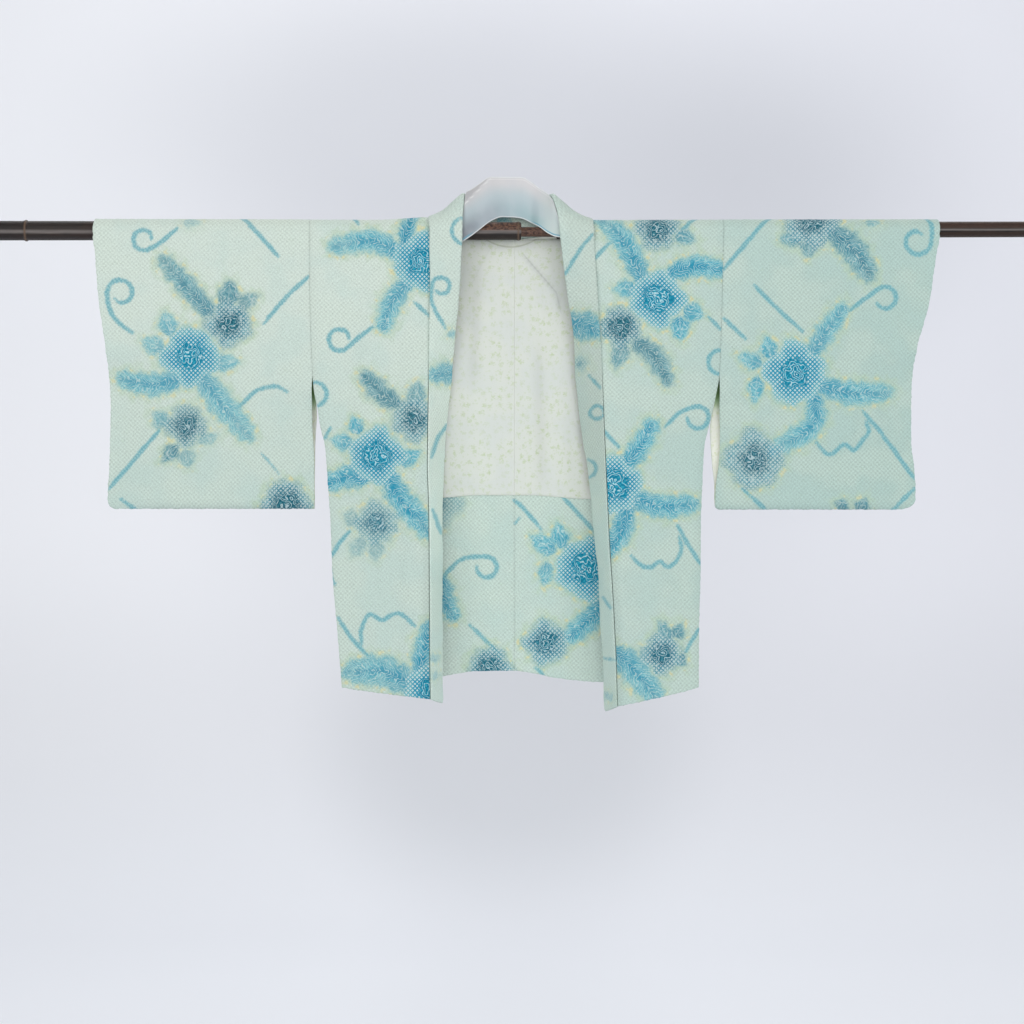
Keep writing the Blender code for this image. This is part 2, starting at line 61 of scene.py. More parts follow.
# ------------------------------------------------------------ sizes of the part
CLOTH = 2.0
THIN = 1.0
SEAM = 0.3
TIGHT = 0.06  # the same where two widths are drawn together
REST = 1.2
ARMHOLE = -225.0
WRIST = -225.0
GUSSET_TOP = -247.0
LINING_TOP = -11.5
CENTRE_X = -2.3
FOLD = 1.6
MOUTH = 1.12  # half the distance between the two layers where the edge is sewn shut
TOP_V = 25.0  # cloth from the height of the axis up to the top line


def table(names, *rows):
    """Rows of numbers under named columns; the first column is the one looked up."""
    columns = [np.array(c, float) for c in zip(*rows)]
    order = np.argsort(columns[0])
    return {n: c[order] for n, c in zip(names.split(), columns)}


def slopes(xs, ys):
    """Slopes for a smooth curve through the rows that never overshoots them."""
    h = np.diff(xs)
    d = np.diff(ys) / h
    m = np.zeros(len(xs))
    m[0], m[-1] = d[0], d[-1]
    if len(xs) > 2:
        a, b = d[:-1], d[1:]
        w1, w2 = 2 * h[1:] + h[:-1], h[1:] + 2 * h[:-1]
        same = a * b > 0
        safe_a, safe_b = np.where(same, a, 1.0), np.where(same, b, 1.0)
        m[1:-1] = np.where(same, (w1 + w2) / (w1 / safe_a + w2 / safe_b), 0.0)
    return m


def smooth(xs, ys, at):
    xs, ys = np.asarray(xs, float), np.asarray(ys, float)
    m = slopes(xs, ys)
    at = np.clip(np.asarray(at, float), xs[0], xs[-1])
    i = np.clip(np.searchsorted(xs, at, side="right") - 1, 0, len(xs) - 2)
    h = xs[i + 1] - xs[i]
    t = (at - xs[i]) / h
    t2, t3 = t * t, t * t * t
    return (
        (2 * t3 - 3 * t2 + 1) * ys[i]
        + (t3 - 2 * t2 + t) * h * m[i]
        + (3 * t2 - 2 * t3) * ys[i + 1]
        + (t3 - t2) * h * m[i + 1]
    )


def look(tab, name, at):
    return smooth(next(iter(tab.values())), tab[name], at)


def ease(u):
    u = np.clip(u, 0.0, 1.0)
    return u * u * (3 - 2 * u)


CULM_L = table("x centre radius", (-815, -1.0, 14.95), (-400, -1.2, 14.15), (8, -1.7, 13.5))
CULM_R = table("x centre radius", (62, -0.9, 12.9), (300, 0.0, 12.6), (797, 1.0, 11.9))
TENON = dict(end=100.0, centre=-3.0, radius=7.5)
BORE = dict(end=104.0, centre=-3.0, radius=7.8)
NODES_L = ((-749, 1.6), (-498, 0.3), (-247, 0.3), (3.6, 1.1))
NODES_R = ((270, 0.3), (535, 0.3))

SIDE = table(
    "z left right",
    (20, -315.0, 317.0),
    (0, -315.0, 316.6),
    (-80, -314.7, 314.8),
    (-140, -313.4, 313.4),
    (-225, -309.8, 309.8),
    (-247, -308.0, 306.2),
    (-274, -302.5, 300.2),
    (-303, -298.0, 293.6),
    (-330, -291.0, 287.0),
    (-387, -286.4, 283.6),
    (-444, -282.2, 281.2),
    (-525, -278.8, 280.4),
    (-605, -271.8, 278.0),
    (-697, -264.2, 277.2),
)
SIDE_SWELL = table(
    "z swell",
    (20, 0.0), (0, 0.0), (-60, -0.3), (-225, -1.5), (-247, -1.4),
    (-300, 1.5), (-400, 6.5), (-500, 10.5), (-600, 14.5), (-697, 17.5),
)
FRONT_SWELL = table(
    "z swell",
    (20, 0.0), (0, 0.0), (-30, 0.8), (-70, 2.2), (-120, 4.7), (-175, 7.5),
    (-225, 10.5), (-300, 14.5), (-420, 19.5), (-540, 24.0), (-650, 27.5), (-725, 29.0),
)
BACK_SWELL = table(
    "z swell",
    (20, 0.0), (8, 0.6), (0, 1.8), (-12, 4.5), (-60, 6.0), (-150, 9.0),
    (-300, 14.0), (-450, 18.0), (-600, 22.0), (-697, 24.0),
)
FRONT_HEM = dict(left=(-697.6, -714.6), right=(-697.4, -725.6))
BACK_HEM = table(
    "x z",
    (-270, -696.5), (-112, -685.0), (-93, -681.5), (-64, -677.5), (-6, -676.6),
    (34, -682.0), (60, -687.5), (138, -694.5), (282, -696.0),
)
SLEEVE_OUT = table(
    "z left right",
    (20, -642.4, 641.5), (12, -643.4, 645.2), (0, -644.9, 646.3), (-15, -644.4, 645.6),
    (-30, -642.1, 642.5), (-61, -639.8, 637.6), (-107, -636.2, 631.2), (-141, -631.6, 622.8),
    (-176, -626.4, 612.8), (-225, -622.2, 606.0), (-266, -619.8, 604.4), (-321, -620.8, 604.4),
    (-370, -622.4, 609.6), (-403, -624.4, 611.2), (-427, -624.6, 609.4),
)
SLEEVE_IN = table(
    "z left_front left_back right_front right_back",
    (-225, -310.1, -310.1, 310.1, 310.1),
    (-247, -311.6, -309.4, 310.8, 307.6),
    (-262, -311.5, -306.4, 310.9, 304.6),
    (-285, -311.2, -304.9, 311.0, 299.4),
    (-306, -310.8, -306.4, 311.6, 296.9),
    (-330, -309.0, -307.4, 311.5, 298.2),
    (-360, -308.2, -307.8, 309.6, 300.4),
    (-392, -308.1, -308.1, 305.4, 303.6),
    (-427, -308.1, -308.1, 304.0, 304.0),
)
SLEEVE_SWELL = table(
    "z swell", (20, 0.0), (0, 0.0), (-100, -1.0), (-225, -3.5), (-300, -5.0), (-380, -7.0), (-427, -8.6)
)
SLEEVE_BOTTOM = dict(left=-425.7, right=-426.8)
SLEEVE_CORNER = dict(left=(13.0, 13.0, 0.0), right=(26.0, 13.0, 8.0))
NECK_L = (
    ("b-12", -2.5, -2.3, 30.0, 46.0, -2.3, 31.0, -15.0),
    ("b-6", -60.0, -32.0, 27.5, 48.5, -78.0, 28.5, -10.0),
    ("b1.00", -80.0, -50.0, 23.0, 51.0, -106.0, 25.0, -2.0),
    ("b0.72", -92.0, -62.0, 17.0, 53.0, -121.0, 20.3, 9.5),
    ("b0.36", -100.0, -72.0, 9.0, 54.5, -130.0, 12.2, 16.6),
    ("top", -104.0, -80.5, -1.0, 55.0, -134.0, 0.0, 20.8),
    ("f0.36", -106.0, -81.5, -12.0, 38.0, -134.0, -12.2, 17.0),
    ("f0.72", -109.0, -82.0, -20.0, 18.0, -133.0, -20.0, 9.0),
    ("f1.00", -112.0, -82.6, -24.0, -3.0, -131.6, -21.8, 0.0),
)
NECK_R = (
    ("b-12", -2.1, -2.3, 30.0, 46.0, -2.3, 31.0, -15.0),
    ("b-6", 50.0, 22.0, 27.5, 47.5, 66.0, 28.0, -10.0),
    ("b1.00", 66.0, 32.0, 23.0, 49.5, 90.0, 24.0, -2.0),
    ("b0.72", 76.0, 41.0, 17.0, 51.5, 103.0, 19.6, 9.0),
    ("b0.36", 82.0, 48.5, 9.0, 53.0, 110.0, 11.8, 15.8),
    ("top", 86.0, 55.0, -1.0, 53.6, 114.0, 0.0, 19.8),
    ("f0.36", 88.5, 60.0, -11.0, 42.0, 117.0, -12.0, 16.8),
    ("f0.72", 93.0, 65.0, -19.0, 20.0, 118.0, -19.2, 8.6),
    ("f1.00", 99.0, 67.4, -23.0, -2.0, 118.9, -20.8, 0.0),
)
FRONT_L = table(
    "z seam_x fold_x fold_y lift over",
    (-30, -118.5, -83.2, -22.0, 5.5, 13.0),
    (-70, -124.5, -85.5, -14.0, 5.0, 7.0),
    (-120, -129.2, -90.0, -3.0, 4.4, 4.0),
    (-175, -131.5, -95.5, 7.5, 3.8, 3.0),
    (-225, -132.8, -100.2, 13.5, 3.5, 2.0),
    (-300, -134.3, -108.2, 18.0, 3.3, 1.5),
    (-360, -135.0, -112.2, 18.8, 3.3, 1.5),
    (-420, -133.0, -114.4, 17.8, 3.3, 1.5),
    (-480, -132.2, -114.9, 16.5, 3.3, 1.5),
    (-540, -131.9, -114.8, 15.0, 3.3, 1.5),
    (-600, -131.5, -114.5, 13.5, 3.3, 1.5),
    (-650, -131.1, -114.3, 12.0, 3.3, 1.5),
    (-725, -130.0, -113.0, 10.0, 3.3, 1.5),
)
FRONT_R = table(
    "z seam_x fold_x fold_y lift over",
    (-30, 107.0, 69.6, -21.0, 5.5, 12.5),
    (-70, 115.0, 75.3, -13.0, 5.0, 8.0),
    (-120, 122.5, 83.0, -2.0, 4.4, 4.5),
    (-175, 128.0, 90.4, 7.0, 3.8, 3.0),
    (-225, 131.0, 92.8, 12.0, 3.5, 2.0),
    (-300, 134.3, 101.0, 15.5, 3.3, 1.5),
    (-360, 136.8, 111.2, 16.5, 3.3, 1.5),
    (-420, 139.5, 117.6, 16.0, 3.3, 1.5),
    (-480, 142.3, 123.4, 15.0, 3.3, 1.5),
    (-540, 146.3, 129.2, 14.0, 3.3, 1.5),
    (-600, 149.5, 131.4, 12.5, 3.3, 1.5),
    (-650, 151.9, 135.2, 11.5, 3.3, 1.5),
    (-735, 154.3, 137.4, 9.0, 3.3, 1.5),
)
FOLD_DROP = dict(left=10.0, right=11.5)
STAY = table(
    "n low_x low_y low_z  high_x high_y high_z bow",
    (0, -84.6, -18.6, -22.5, -77.6, -4.0, 54.0, -2.6),
    (1, -78.0, -18.8, -18.0, -76.0, -2.0, 58.6, -3.0),
    (2, -67.3, -18.8, -10.7, -68.0, 4.0, 63.6, -3.0),
    (3, -52.3, -17.6, 1.1, -55.0, 11.0, 73.4, -2.0),
    (4, -37.6, -9.0, 12.9, -39.2, 17.0, 83.8, 0.0),
    (5, -21.0, 2.0, 19.9, -24.0, 22.0, 84.4, 0.0),
    (6, -6.0, 9.0, 20.2, -8.0, 23.5, 84.4, 0.0),
    (7, 8.0, 10.0, 18.6, 9.9, 23.0, 83.8, 0.0),
    (8, 22.0, 6.0, 12.0, 24.0, 18.0, 75.4, 0.0),
    (9, 36.0, -6.6, 3.4, 38.0, 10.0, 64.0, -0.5),
    (10, 49.0, -12.5, -6.6, 48.0, 2.5, 56.6, -2.0),
    (11, 60.0, -16.4, -12.0, 53.0, -4.5, 50.0, -2.3),
    (12, 70.4, -18.2, -13.6, 56.4, -9.6, 44.5, -1.6),
)
LINING_FOOT = table(
    "x z", (-285, -411.0), (-114, -409.2), (-60, -405.6), (20, -405.6), (100, -411.0), (283, -415.0)
)

# ---------------------------------------------------- creases, placed one by one
# x0 z0 x1 z1 half-width height: a soft ridge, or a trough where the height is
# negative, from one point to the other, measured off the cloth's own surface.
CREASES = dict(
    front_left=(
        (-292, -30, -286, -330, 13, 1.1),
        (-250, -20, -262, -420, 17, -1.5),
        (-214, -60, -226, -690, 20, 1.6),
        (-178, -150, -190, -700, 15, -1.3),
        (-155, -300, -158, -705, 9, 1.0),
        (-285, -380, -215, -470, 12, -0.9),
        (-262, -560, -180, -640, 11, 0.9),
        (-270, -610, -250, -705, 8, -0.9),
        (-300, -235, -252, -330, 8, 0.9),
    ),
    front_right=(
        (292, -25, 288, -300, 12, 1.0),
        (262, -30, 246, -380, 16, -1.4),
        (214, -80, 236, -640, 19, 1.5),
        (184, -220, 196, -715, 14, -1.4),
        (166, -380, 172, -712, 9, 1.1),
        (276, -420, 206, -500, 12, 0.9),
        (270, -540, 262, -700, 9, -1.1),
        (250, -600, 190, -668, 11, -0.8),
        (302, -240, 262, -340, 8, 0.8),
    ),
    back=(
        (-280, -40, -262, -520, 18, 1.4),
        (-232, -60, -224, -680, 22, -1.7),
        (-170, -20, -182, -470, 17, 1.3),
        (-118, -120, -130, -690, 21, -1.6),
        (-60, -60, -70, -420, 15, 1.1),
        (-36, -260, -30, -690, 11, -1.1),
        (38, -40, 46, -380, 14, 1.2),
        (64, -230, 58, -690, 15, -1.3),
        (112, -30, 122, -600, 20, 1.5),
        (168, -70, 176, -690, 17, -1.5),
        (226, -30, 216, -540, 19, 1.3),
        (268, -140, 262, -690, 13, -1.2),
        (-250, -430, -120, -560, 16, 0.9),
        (240, -380, 110, -500, 15, -0.9),
        (20, -40, 66, -150, 6, 1.4),
    ),
    sleeve_left=(
        (-352, -12, -346, -410, 14, 1.0),
        (-402, -20, -414, -415, 21, -1.6),
        (-460, -10, -452, -300, 18, 1.4),
        (-505, -90, -520, -420, 20, -1.3),
        (-560, -20, -566, -400, 22, 1.5),
        (-606, -40, -600, -300, 11, -1.0),
        (-340, -250, -450, -400, 15, 1.0),
        (-610, -260, -540, -400, 12, -0.9),
    ),
    sleeve_right=(
        (350, -15, 356, -415, 15, 1.1),
        (398, -15, 386, -410, 20, -1.6),
        (452, -25, 462, -330, 18, 1.3),
        (506, -60, 498, -420, 19, -1.4),
        (556, -15, 548, -400, 20, 1.5),
        (604, -30, 588, -280, 12, -1.0),
        (345, -270, 440, -405, 14, 0.9),
        (592, -250, 520, -400, 13, -0.9),
    ),
)


def crease_height(name, x, z):
    out = np.zeros(np.broadcast(x, z).shape)
    for x0, z0, x1, z1, wide, high in CREASES[name]:
        dx, dz = x1 - x0, z1 - z0
        length = math.hypot(dx, dz)
        t = ((x - x0) * dx + (z - z0) * dz) / length**2
        bend = 0.06 * length * np.sin(math.pi * np.clip(t, 0, 1)) * (1 if high > 0 else -0.7)
        off = ((x - x0) * dz - (z - z0) * dx) / length - bend * 0.35
        ends = ease((t + 0.12) / 0.3) * ease((1.12 - t) / 0.3)
        spread = wide * (0.75 + 0.4 * np.clip(t, 0, 1))
        out += high * np.exp(-((off / spread) ** 2)) * ends
    return out


def pucker(u, v):
    """Small unevenness that the tied and released cloth keeps."""
    return (
        0.16 * np.sin(0.31 * u + 0.07 * v + 1.7 * np.sin(0.043 * v))
        + 0.14 * np.sin(0.27 * v - 0.11 * u + 1.3 * np.sin(0.051 * u))
        + 0.10 * np.sin(0.47 * u - 0.39 * v)
        + 0.08 * np.sin(0.52 * v + 0.33 * u + 2.1)
    )


def nibble(a, start=0.0):
    """Small bumps along a free edge, where the tied cloth shrank unevenly."""
    return (
        0.34 * np.sin(0.80 * a + start + 1.4 * np.sin(0.23 * a))
        + 0.26 * np.sin(0.47 * a - 2.1 * start + 1.1 * np.sin(0.13 * a + 2.0))
        + 0.22 * np.sin(0.19 * a + 0.6 * start)
    )


# ------------------------------------------------------------ the cloth's surfaces
def pole_radius(x):
    left = np.interp(x, CULM_L["x"], CULM_L["radius"])
    right = np.interp(x, CULM_R["x"], CULM_R["radius"])
    w = np.clip((x - 8) / 54, 0, 1)
    return left * (1 - w) + right * w


def pole_centre(x):
    left = np.interp(x, CULM_L["x"], CULM_L["centre"])
    right = np.interp(x, CULM_R["x"], CULM_R["centre"])
    w = np.clip((x - 8) / 54, 0, 1)
    return left * (1 - w) + right * w


def drape(x, level, face, swell):
    """Points of cloth hung over the pole. level 0 is the top line, 1 the height of
    the axis, and a negative level is a height below it."""
    r = pole_radius(x) + REST + CLOTH / 2
    c = pole_centre(x)
    arc = level >= 0
    a = np.clip(level, 0, 1) * math.pi / 2
    ra = r + swell * np.clip(level, 0, 1)
    y = np.where(arc, face * ra * np.sin(a), face * (r + swell))
    z = np.where(arc, c + ra * np.cos(a), level + c * np.exp(np.minimum(level, 0) / 20))
    return np.stack(np.broadcast_arrays(x, y, z), axis=-1)


def height_of(level):
    return np.where(level < 0, level, 18 * (1 - level))


def cloth_v(face, level, z):
    """Length of cloth from the height of the axis in front, up over the pole."""
    up = np.where(level < 0, z, TOP_V * (1 - np.clip(level, 0, 1)))
    return up if face < 0 else 2 * TOP_V - up


def neck_rows(side):
    return NECK_L if side == "left" else NECK_R


def neck_seam(side, face, level):
    rows = {r[0]: r for r in neck_rows(side)}
    h = height_of(level)
    if face < 0:
        front = FRONT_L if side == "left" else FRONT_R
        hs = list(front["z"]) + [0.0, 5.04, 11.52, 18.0]
        xs = list(front["seam_x"]) + [rows[n][1] for n in ("f1.00", "f0.72", "f0.36", "top")]
        return smooth(hs, xs, h)
    middle = CENTRE_X + (-TIGHT / 2 if side == "left" else TIGHT / 2)
    hs = [-12.0, -6.0, 0.0, 5.04, 11.52, 18.0]
    xs = [rows[n][1] for n in ("b-12", "b-6", "b1.00", "b0.72", "b0.36", "top")]
    return np.where(h < -12.2, middle, smooth(hs, xs, h))


def hem_height(side, face, x, u):
    if face > 0:
        return look(BACK_HEM, "z", x)
    at_side, at_seam = FRONT_HEM[side]
    return at_side + (at_seam - at_side) * np.clip(u, 0, 1) ** 0.85


def body_points(side, face, level, u, creases=True):
    """u is 0 at the side and 1 at the inner edge. Levels under -600 are stretched
    to the hem's own line. Gives the points, with the creases added when creases is set."""
    level = np.asarray(level, float)
    u = np.asarray(u, float)
    inner0 = neck_seam(side, face, np.minimum(level, -600.0) if np.ndim(level) == 0 else level)
    outer = look(SIDE, side, height_of(level))
    x = outer + (inner0 - outer) * u
    hem = hem_height(side, face, x, u)
    w = np.where(level < -600, -600 + (level + 600) * (hem + 600) / -96.0, level)
    h = height_of(w)
    outer = look(SIDE, side, h)
    inner = neck_seam(side, face, w)
    x = outer + (inner - outer) * u
    k = ease(u)
    swell = look(SIDE_SWELL, "swell", h) * (1 - k)
    swell = swell + k * look(FRONT_SWELL if face < 0 else BACK_SWELL, "swell", h)
    p = drape(x, w, face, swell)
    if creases:
        name = f"front_{side}" if face < 0 else "back"
        wide = np.abs(inner - outer)
        calm = ease(u * wide / 16) * ease((1 - u) * wide / 14) * ease((6 - h) / 40)
        add = (crease_height(name, x, p[..., 2]) + pucker(x, p[..., 2])) * calm
        p[..., 1] += face * add
        sign = -1 if side == "left" else 1
        free = ease((1 - u * wide / 9)) * ease((GUSSET_TOP - 10 - h) / 30)
        p[..., 0] += sign * free * 0.7 * nibble(h, 1.0 + face)
        p[..., 2] += 0.8 * nibble(x, 2.0 + face) * ease((-660 - w) / 36) * ease((1 - u) * wide / 9)
        if side == "left":
            # pushed up a little against the collar
            p[..., 2] += 4.0 * ease((x + 212) / 78) * ease((h - 2) / 14) * ease((1 - u) * wide / 14)
        p[..., 2] += 0.45 * nibble(x, 6.0) * ease((h - 8) / 10) * ease(u * wide / 12) * ease((1 - u) * wide / 30)
    return p


def rounded(dx, dz, wide, tall):
    a = np.clip(1 - dx / max(wide, 1e-6), 0, 1)
    b = np.clip(1 - dz / max(tall, 1e-6), 0, 1)
    inside = (dx < wide) & (dz < tall)
    return (
        np.where(inside, wide * (1 - a * np.sqrt(1 - b * b / 2)), dx),
        np.where(inside, tall * (1 - b * np.sqrt(1 - a * a / 2)), dz),
    )


def sleeve_points(side, face, level, u, up=None, creases=True):
    """u is 0 at the body and 1 at the wrist; up is the height above the bottom fold."""
    sign = -1 if side == "left" else 1
    bottom = SLEEVE_BOTTOM[side]
    level, u = np.broadcast_arrays(np.asarray(level, float), np.asarray(u, float))
    h = height_of(level)
    name = f"{side}_{'front' if face < 0 else 'back'}"
    inner = np.where(
        h >= ARMHOLE,
        look(SIDE, side, h) + sign * TIGHT * (1 + 4 * ease((h - ARMHOLE - 6) / -12)),
        look(SLEEVE_IN, name, np.minimum(h, ARMHOLE)),
    )
    outer = look(SLEEVE_OUT, side, h)
    x = inner + (outer - inner) * u
    wide, tall, inner_round = SLEEVE_CORNER[side]
    low = level < -380
    dx, dz = rounded(np.abs(outer - x), level - bottom, wide, tall)
    x = np.where(low, outer - sign * dx, x)
    lv = np.where(low, bottom + dz, level)
    if inner_round:
        dx, dz = rounded(np.abs(x - inner), lv - bottom, inner_round, inner_round)
        x = np.where(low, inner + sign * dx, x)
        lv = np.where(low, bottom + dz, lv)
    at_body = np.where(
        h < ARMHOLE,
        look(SLEEVE_SWELL, "swell", h) + 2.0 * (1 - ease((ARMHOLE - h) / 200)),
        look(SIDE_SWELL, "swell", np.maximum(h, ARMHOLE)),
    )
    # the two layers hang close together at the furi
    close = ease((ARMHOLE - 10 - h) / 40)
    at_body = at_body + (np.minimum(at_body, -10.4) - at_body) * close
    swell = at_body + (look(SLEEVE_SWELL, "swell", h) - at_body) * ease(u / 0.35)
    p = drape(x, lv, face, swell)
    if creases:
        span = np.abs(outer - inner)
        calm = ease(u * span / 16) * ease((1 - u) * span / 26) * ease((6 - h) / 40)
        calm = calm * ease((level - bottom) / 24)
        add = crease_height(f"sleeve_{side}", x, p[..., 2]) * (1.0 if face < 0 else 0.8)
        p[..., 1] += face * (add + pucker(x, p[..., 2])) * calm
        p[..., 0] += sign * ease(1 - (1 - u) * span / 9) * nibble(h, 0.5 + face) * ease((8 - h) / 12)
        p[..., 2] += 0.8 * nibble(x, 4.0) * ease(1 - (lv - bottom) / 16)
        p[..., 2] += (0.35 + 0.5 * nibble(x, 6.0)) * ease((h - 8) / 10) * ease(u * span / 20)
    shut = ease((u - 0.72) / 0.28) * ease((WRIST + 45 - h) / 45)
    depth = np.where(h < 0, np.abs(p[..., 1]) * (1 - shut) + MOUTH * shut, np.abs(p[..., 1]))
    if up is not None:
        depth = depth * np.sqrt(np.clip(1 - (1 - np.minimum(1.0, up / 14)) ** 2, 0, 1))
    p[..., 1] = face * depth
    return p


# ------------------------------------------------------------------ mesh building
def unit(v):
    return v / np.maximum(1e-9, np.linalg.norm(v, axis=-1, keepdims=True))


def grid_normals(g, wrap=False):
    if wrap:
        dv = np.roll(g, -1, axis=0) - np.roll(g, 1, axis=0)
    else:
        dv = np.gradient(g, axis=0)
    du = np.gradient(g, axis=1)
    return unit(np.cross(du, dv))


def steps(total, pitch, even=True):
    n = max(2, int(round(total / pitch)))
    return n + (n % 2 if even else 0)


def with_rims(n, width, rim=0.4):
    """n+1 parameters from 0 to 1 with a narrow first and last step."""
    e = rim / width
    return np.concatenate(([0.0], np.linspace(e, 1 - e, n - 1), [1.0]))


def edge_distance(g, axis, wrap=False):
    """Distance along the grid to the nearer end of each line."""
    if wrap:
        return np.full(g.shape[:2], 1e3)
    step = np.linalg.norm(np.diff(g, axis=axis), axis=2)
    pad = [(0, 0), (0, 0)]
    pad[axis] = (1, 0)
    run = np.cumsum(np.pad(step, pad), axis=axis)
    total = np.take(run, [-1], axis=axis)
    return np.minimum(run, total - run)


def make_shell(name, g, wall, outward, mats, attributes, wrap=False, v_split=0.3, rim=0.42):
    """A closed sheet of cloth from its middle surface: a fine outer side, an inner
    side at half the number of steps, and a rounded edge between them."""
    n, m = g.shape[:2]
    half = wall / 2
    normal = grid_normals(g, wrap)
    if outward(g, normal) < 0:
        normal = -normal
        flip = True
    else:
        flip = False
    e_col = edge_distance(g, 1)
    e_row = edge_distance(g, 0, wrap)
    edge = np.minimum(e_col, e_row)
    bend = min(half, rim)
    profile = np.sqrt(np.clip(1 - (1 - np.clip(edge / bend, 0, 1)) ** 2, 0, 1))
    outer = g + normal * (half * profile)[..., None]
    # the inner side, at every second row and column
    if wrap:
        rows = np.arange(0, n, 2)
    else:
        rows = np.arange(0, n, 2)
        rows[0], rows[-1] = 1, n - 2
    cols = np.arange(0, m, 2)
    cols[0], cols[-1] = 1, m - 2
    inner = (g - normal * half)[np.ix_(rows, cols)]
    nr, mc = len(rows), len(cols)
    verts = np.concatenate([outer.reshape(-1, 3), inner.reshape(-1, 3)])
    base = n * m
    faces, kinds, uvs = [], [], []

    def uv_out(i, k):
        return (0.004 + 0.992 * i / (n - (0 if wrap else 1)), v_split + 0.01 + (0.985 - v_split) * k / (m - 1))

    def uv_in(i, k):
        return (0.004 + 0.992 * i / (nr - (0 if wrap else 1)), 0.005 + (v_split - 0.03) * k / (mc - 1))

    last = n if wrap else n - 1
    for i in range(last):
        j = (i + 1) % n
        for k in range(m - 1):
            quad = (i * m + k, i * m + k + 1, j * m + k + 1, j * m + k)
            uv = (uv_out(i, k), uv_out(i, k + 1), uv_out(i + 1, k + 1), uv_out(i + 1, k))
            faces.append(quad)
            uvs.append(uv)
            kinds.append(0)
    last = nr if wrap else nr - 1
    for i in range(last):
        j = (i + 1) % nr
        for k in range(mc - 1):
            quad = (base + i * mc + k, base + j * mc + k, base + j * mc + k + 1, base + i * mc + k + 1)
            uv = (uv_in(i, k), uv_in(i + 1, k), uv_in(i + 1, k + 1), uv_in(i, k + 1))
            faces.append(quad)
            uvs.append(uv)
            kinds.append(1)

    # loops round the edge: fine ids and the coarse ids beside every second one
    loops = []
    if wrap:
        fine = [i * m for i in range(n)]
        coarse = [base + i * mc for i in range(nr)]
        loops.append((fine, coarse, True))
        fine = [i * m + m - 1 for i in range(n)]
        coarse = [base + i * mc + mc - 1 for i in range(nr)]
        loops.append((fine, coarse, False))
    else:
        fine = [k for k in range(m)] + [i * m + m - 1 for i in range(1, n)]
        fine += [(n - 1) * m + k for k in range(m - 2, -1, -1)] + [i * m for i in range(n - 2, 0, -1)]
        coarse = [k for k in range(mc)] + [i * mc + mc - 1 for i in range(1, nr)]
        coarse += [(nr - 1) * mc + k for k in range(mc - 2, -1, -1)] + [i * mc for i in range(nr - 2, 0, -1)]
        loops.append((fine, [base + c for c in coarse], False))
    for which, (fine, coarse, back) in enumerate(loops):
        count = len(coarse)
        y0 = v_split - 0.02 + 0.012 * which
        y1 = y0 + 0.010

        def spot(q, y):
            return (0.004 + 0.992 * q / count, y)

        for q in range(count):
            f0, f1, f2 = fine[2 * q], fine[2 * q + 1], fine[(2 * q + 2) % len(fine)]
            c0, c1 = coarse[q], coarse[(q + 1) % count]
            tris = (
                ((f0, c0, f1), (spot(q, y0), spot(q, y1), spot(q + 0.5, y0))),
                ((f1, c0, c1), (spot(q + 0.5, y0), spot(q, y1), spot(q + 1, y1))),
                ((f1, c1, f2), (spot(q + 0.5, y0), spot(q + 1, y1), spot(q + 1, y0))),
            )
            for tri, uv in tris:
                # the fine loop runs against the outer side's own direction
                faces.append(tri if not back else tri[::-1])
                uvs.append(uv if not back else uv[::-1])
                kinds.append(1)
    # du x dv is the outer side's normal for a quad in the order given; else turn all
    if flip:
        faces = [f[::-1] for f in faces]
        uvs = [u[::-1] for u in uvs]

    mesh = bpy.data.meshes.new(name)
    mesh.from_pydata((verts * MM).tolist(), [], faces)
    mesh.materials.append(mats[0])
    mesh.materials.append(mats[1])
    mesh.polygons.foreach_set("material_index", np.array(kinds, dtype=np.int32))
    layer = mesh.uv_layers.new(name="OFBake")
    flat = np.array([c for face in uvs for point in face for c in point], dtype=np.float32)
    layer.data.foreach_set("uv", flat)
    inner_pick = np.ix_(rows, cols)
    for key, value in attributes.items():
        both = np.concatenate([value.reshape(-1, value.shape[-1]), value[inner_pick].reshape(-1, value.shape[-1])])
        attr = mesh.attributes.new(key, "FLOAT_VECTOR", "POINT")
        attr.data.foreach_set("vector", both.astype(np.float32).ravel())
    mesh.shade_smooth()
    mesh.set_sharp_from_angle(angle=math.radians(48))
    mesh.update()
    obj = bpy.data.objects.new(name, mesh)
    bpy.context.scene.collection.objects.link(obj)
    return obj, edge


# ------------------------------------------------------------------- the dyed motifs
# Placed one by one, in millimetres across and up the cloth: over the shoulder the
# second number goes on past the top line at 25 and down the back.
# FLOWERS: x v ring core navy tone
FLOWERS = [
    (-496, -194, 43, 21, 0, 1.0),
    (-438, -145, 33, 17, 1, 1.0),
    (-503, -300, 30, 18, 1, 0.85),
    (-351, -421, 36, 21, 1, 1.0),
    (-143, -50, 43, 21, 0, 1.0),
    (-155, -291, 32, 16, 1, 0.9),
    (-212, -346, 41, 22, 0, 1.0),
    (-212, -448, 32, 17, 0.8, 0.75),
    (-131, -698, 36, 17, 0, 1.0),
    (215, -107, 41, 23, 0, 1.0),
    (215, 1, 32, 18, 1, 1.0),
    (159, -150, 30, 18, 1, 1.0),
    (149, -391, 41, 23, 0, 1.0),
    (221, -647, 29, 15, 0.9, 1.0),
    (425, -220, 46, 23, 0, 1.0),
    (450, 14, 40, 20, 1, 1.0),
    (364, -352, 43, 20, 1, 0.9),
]
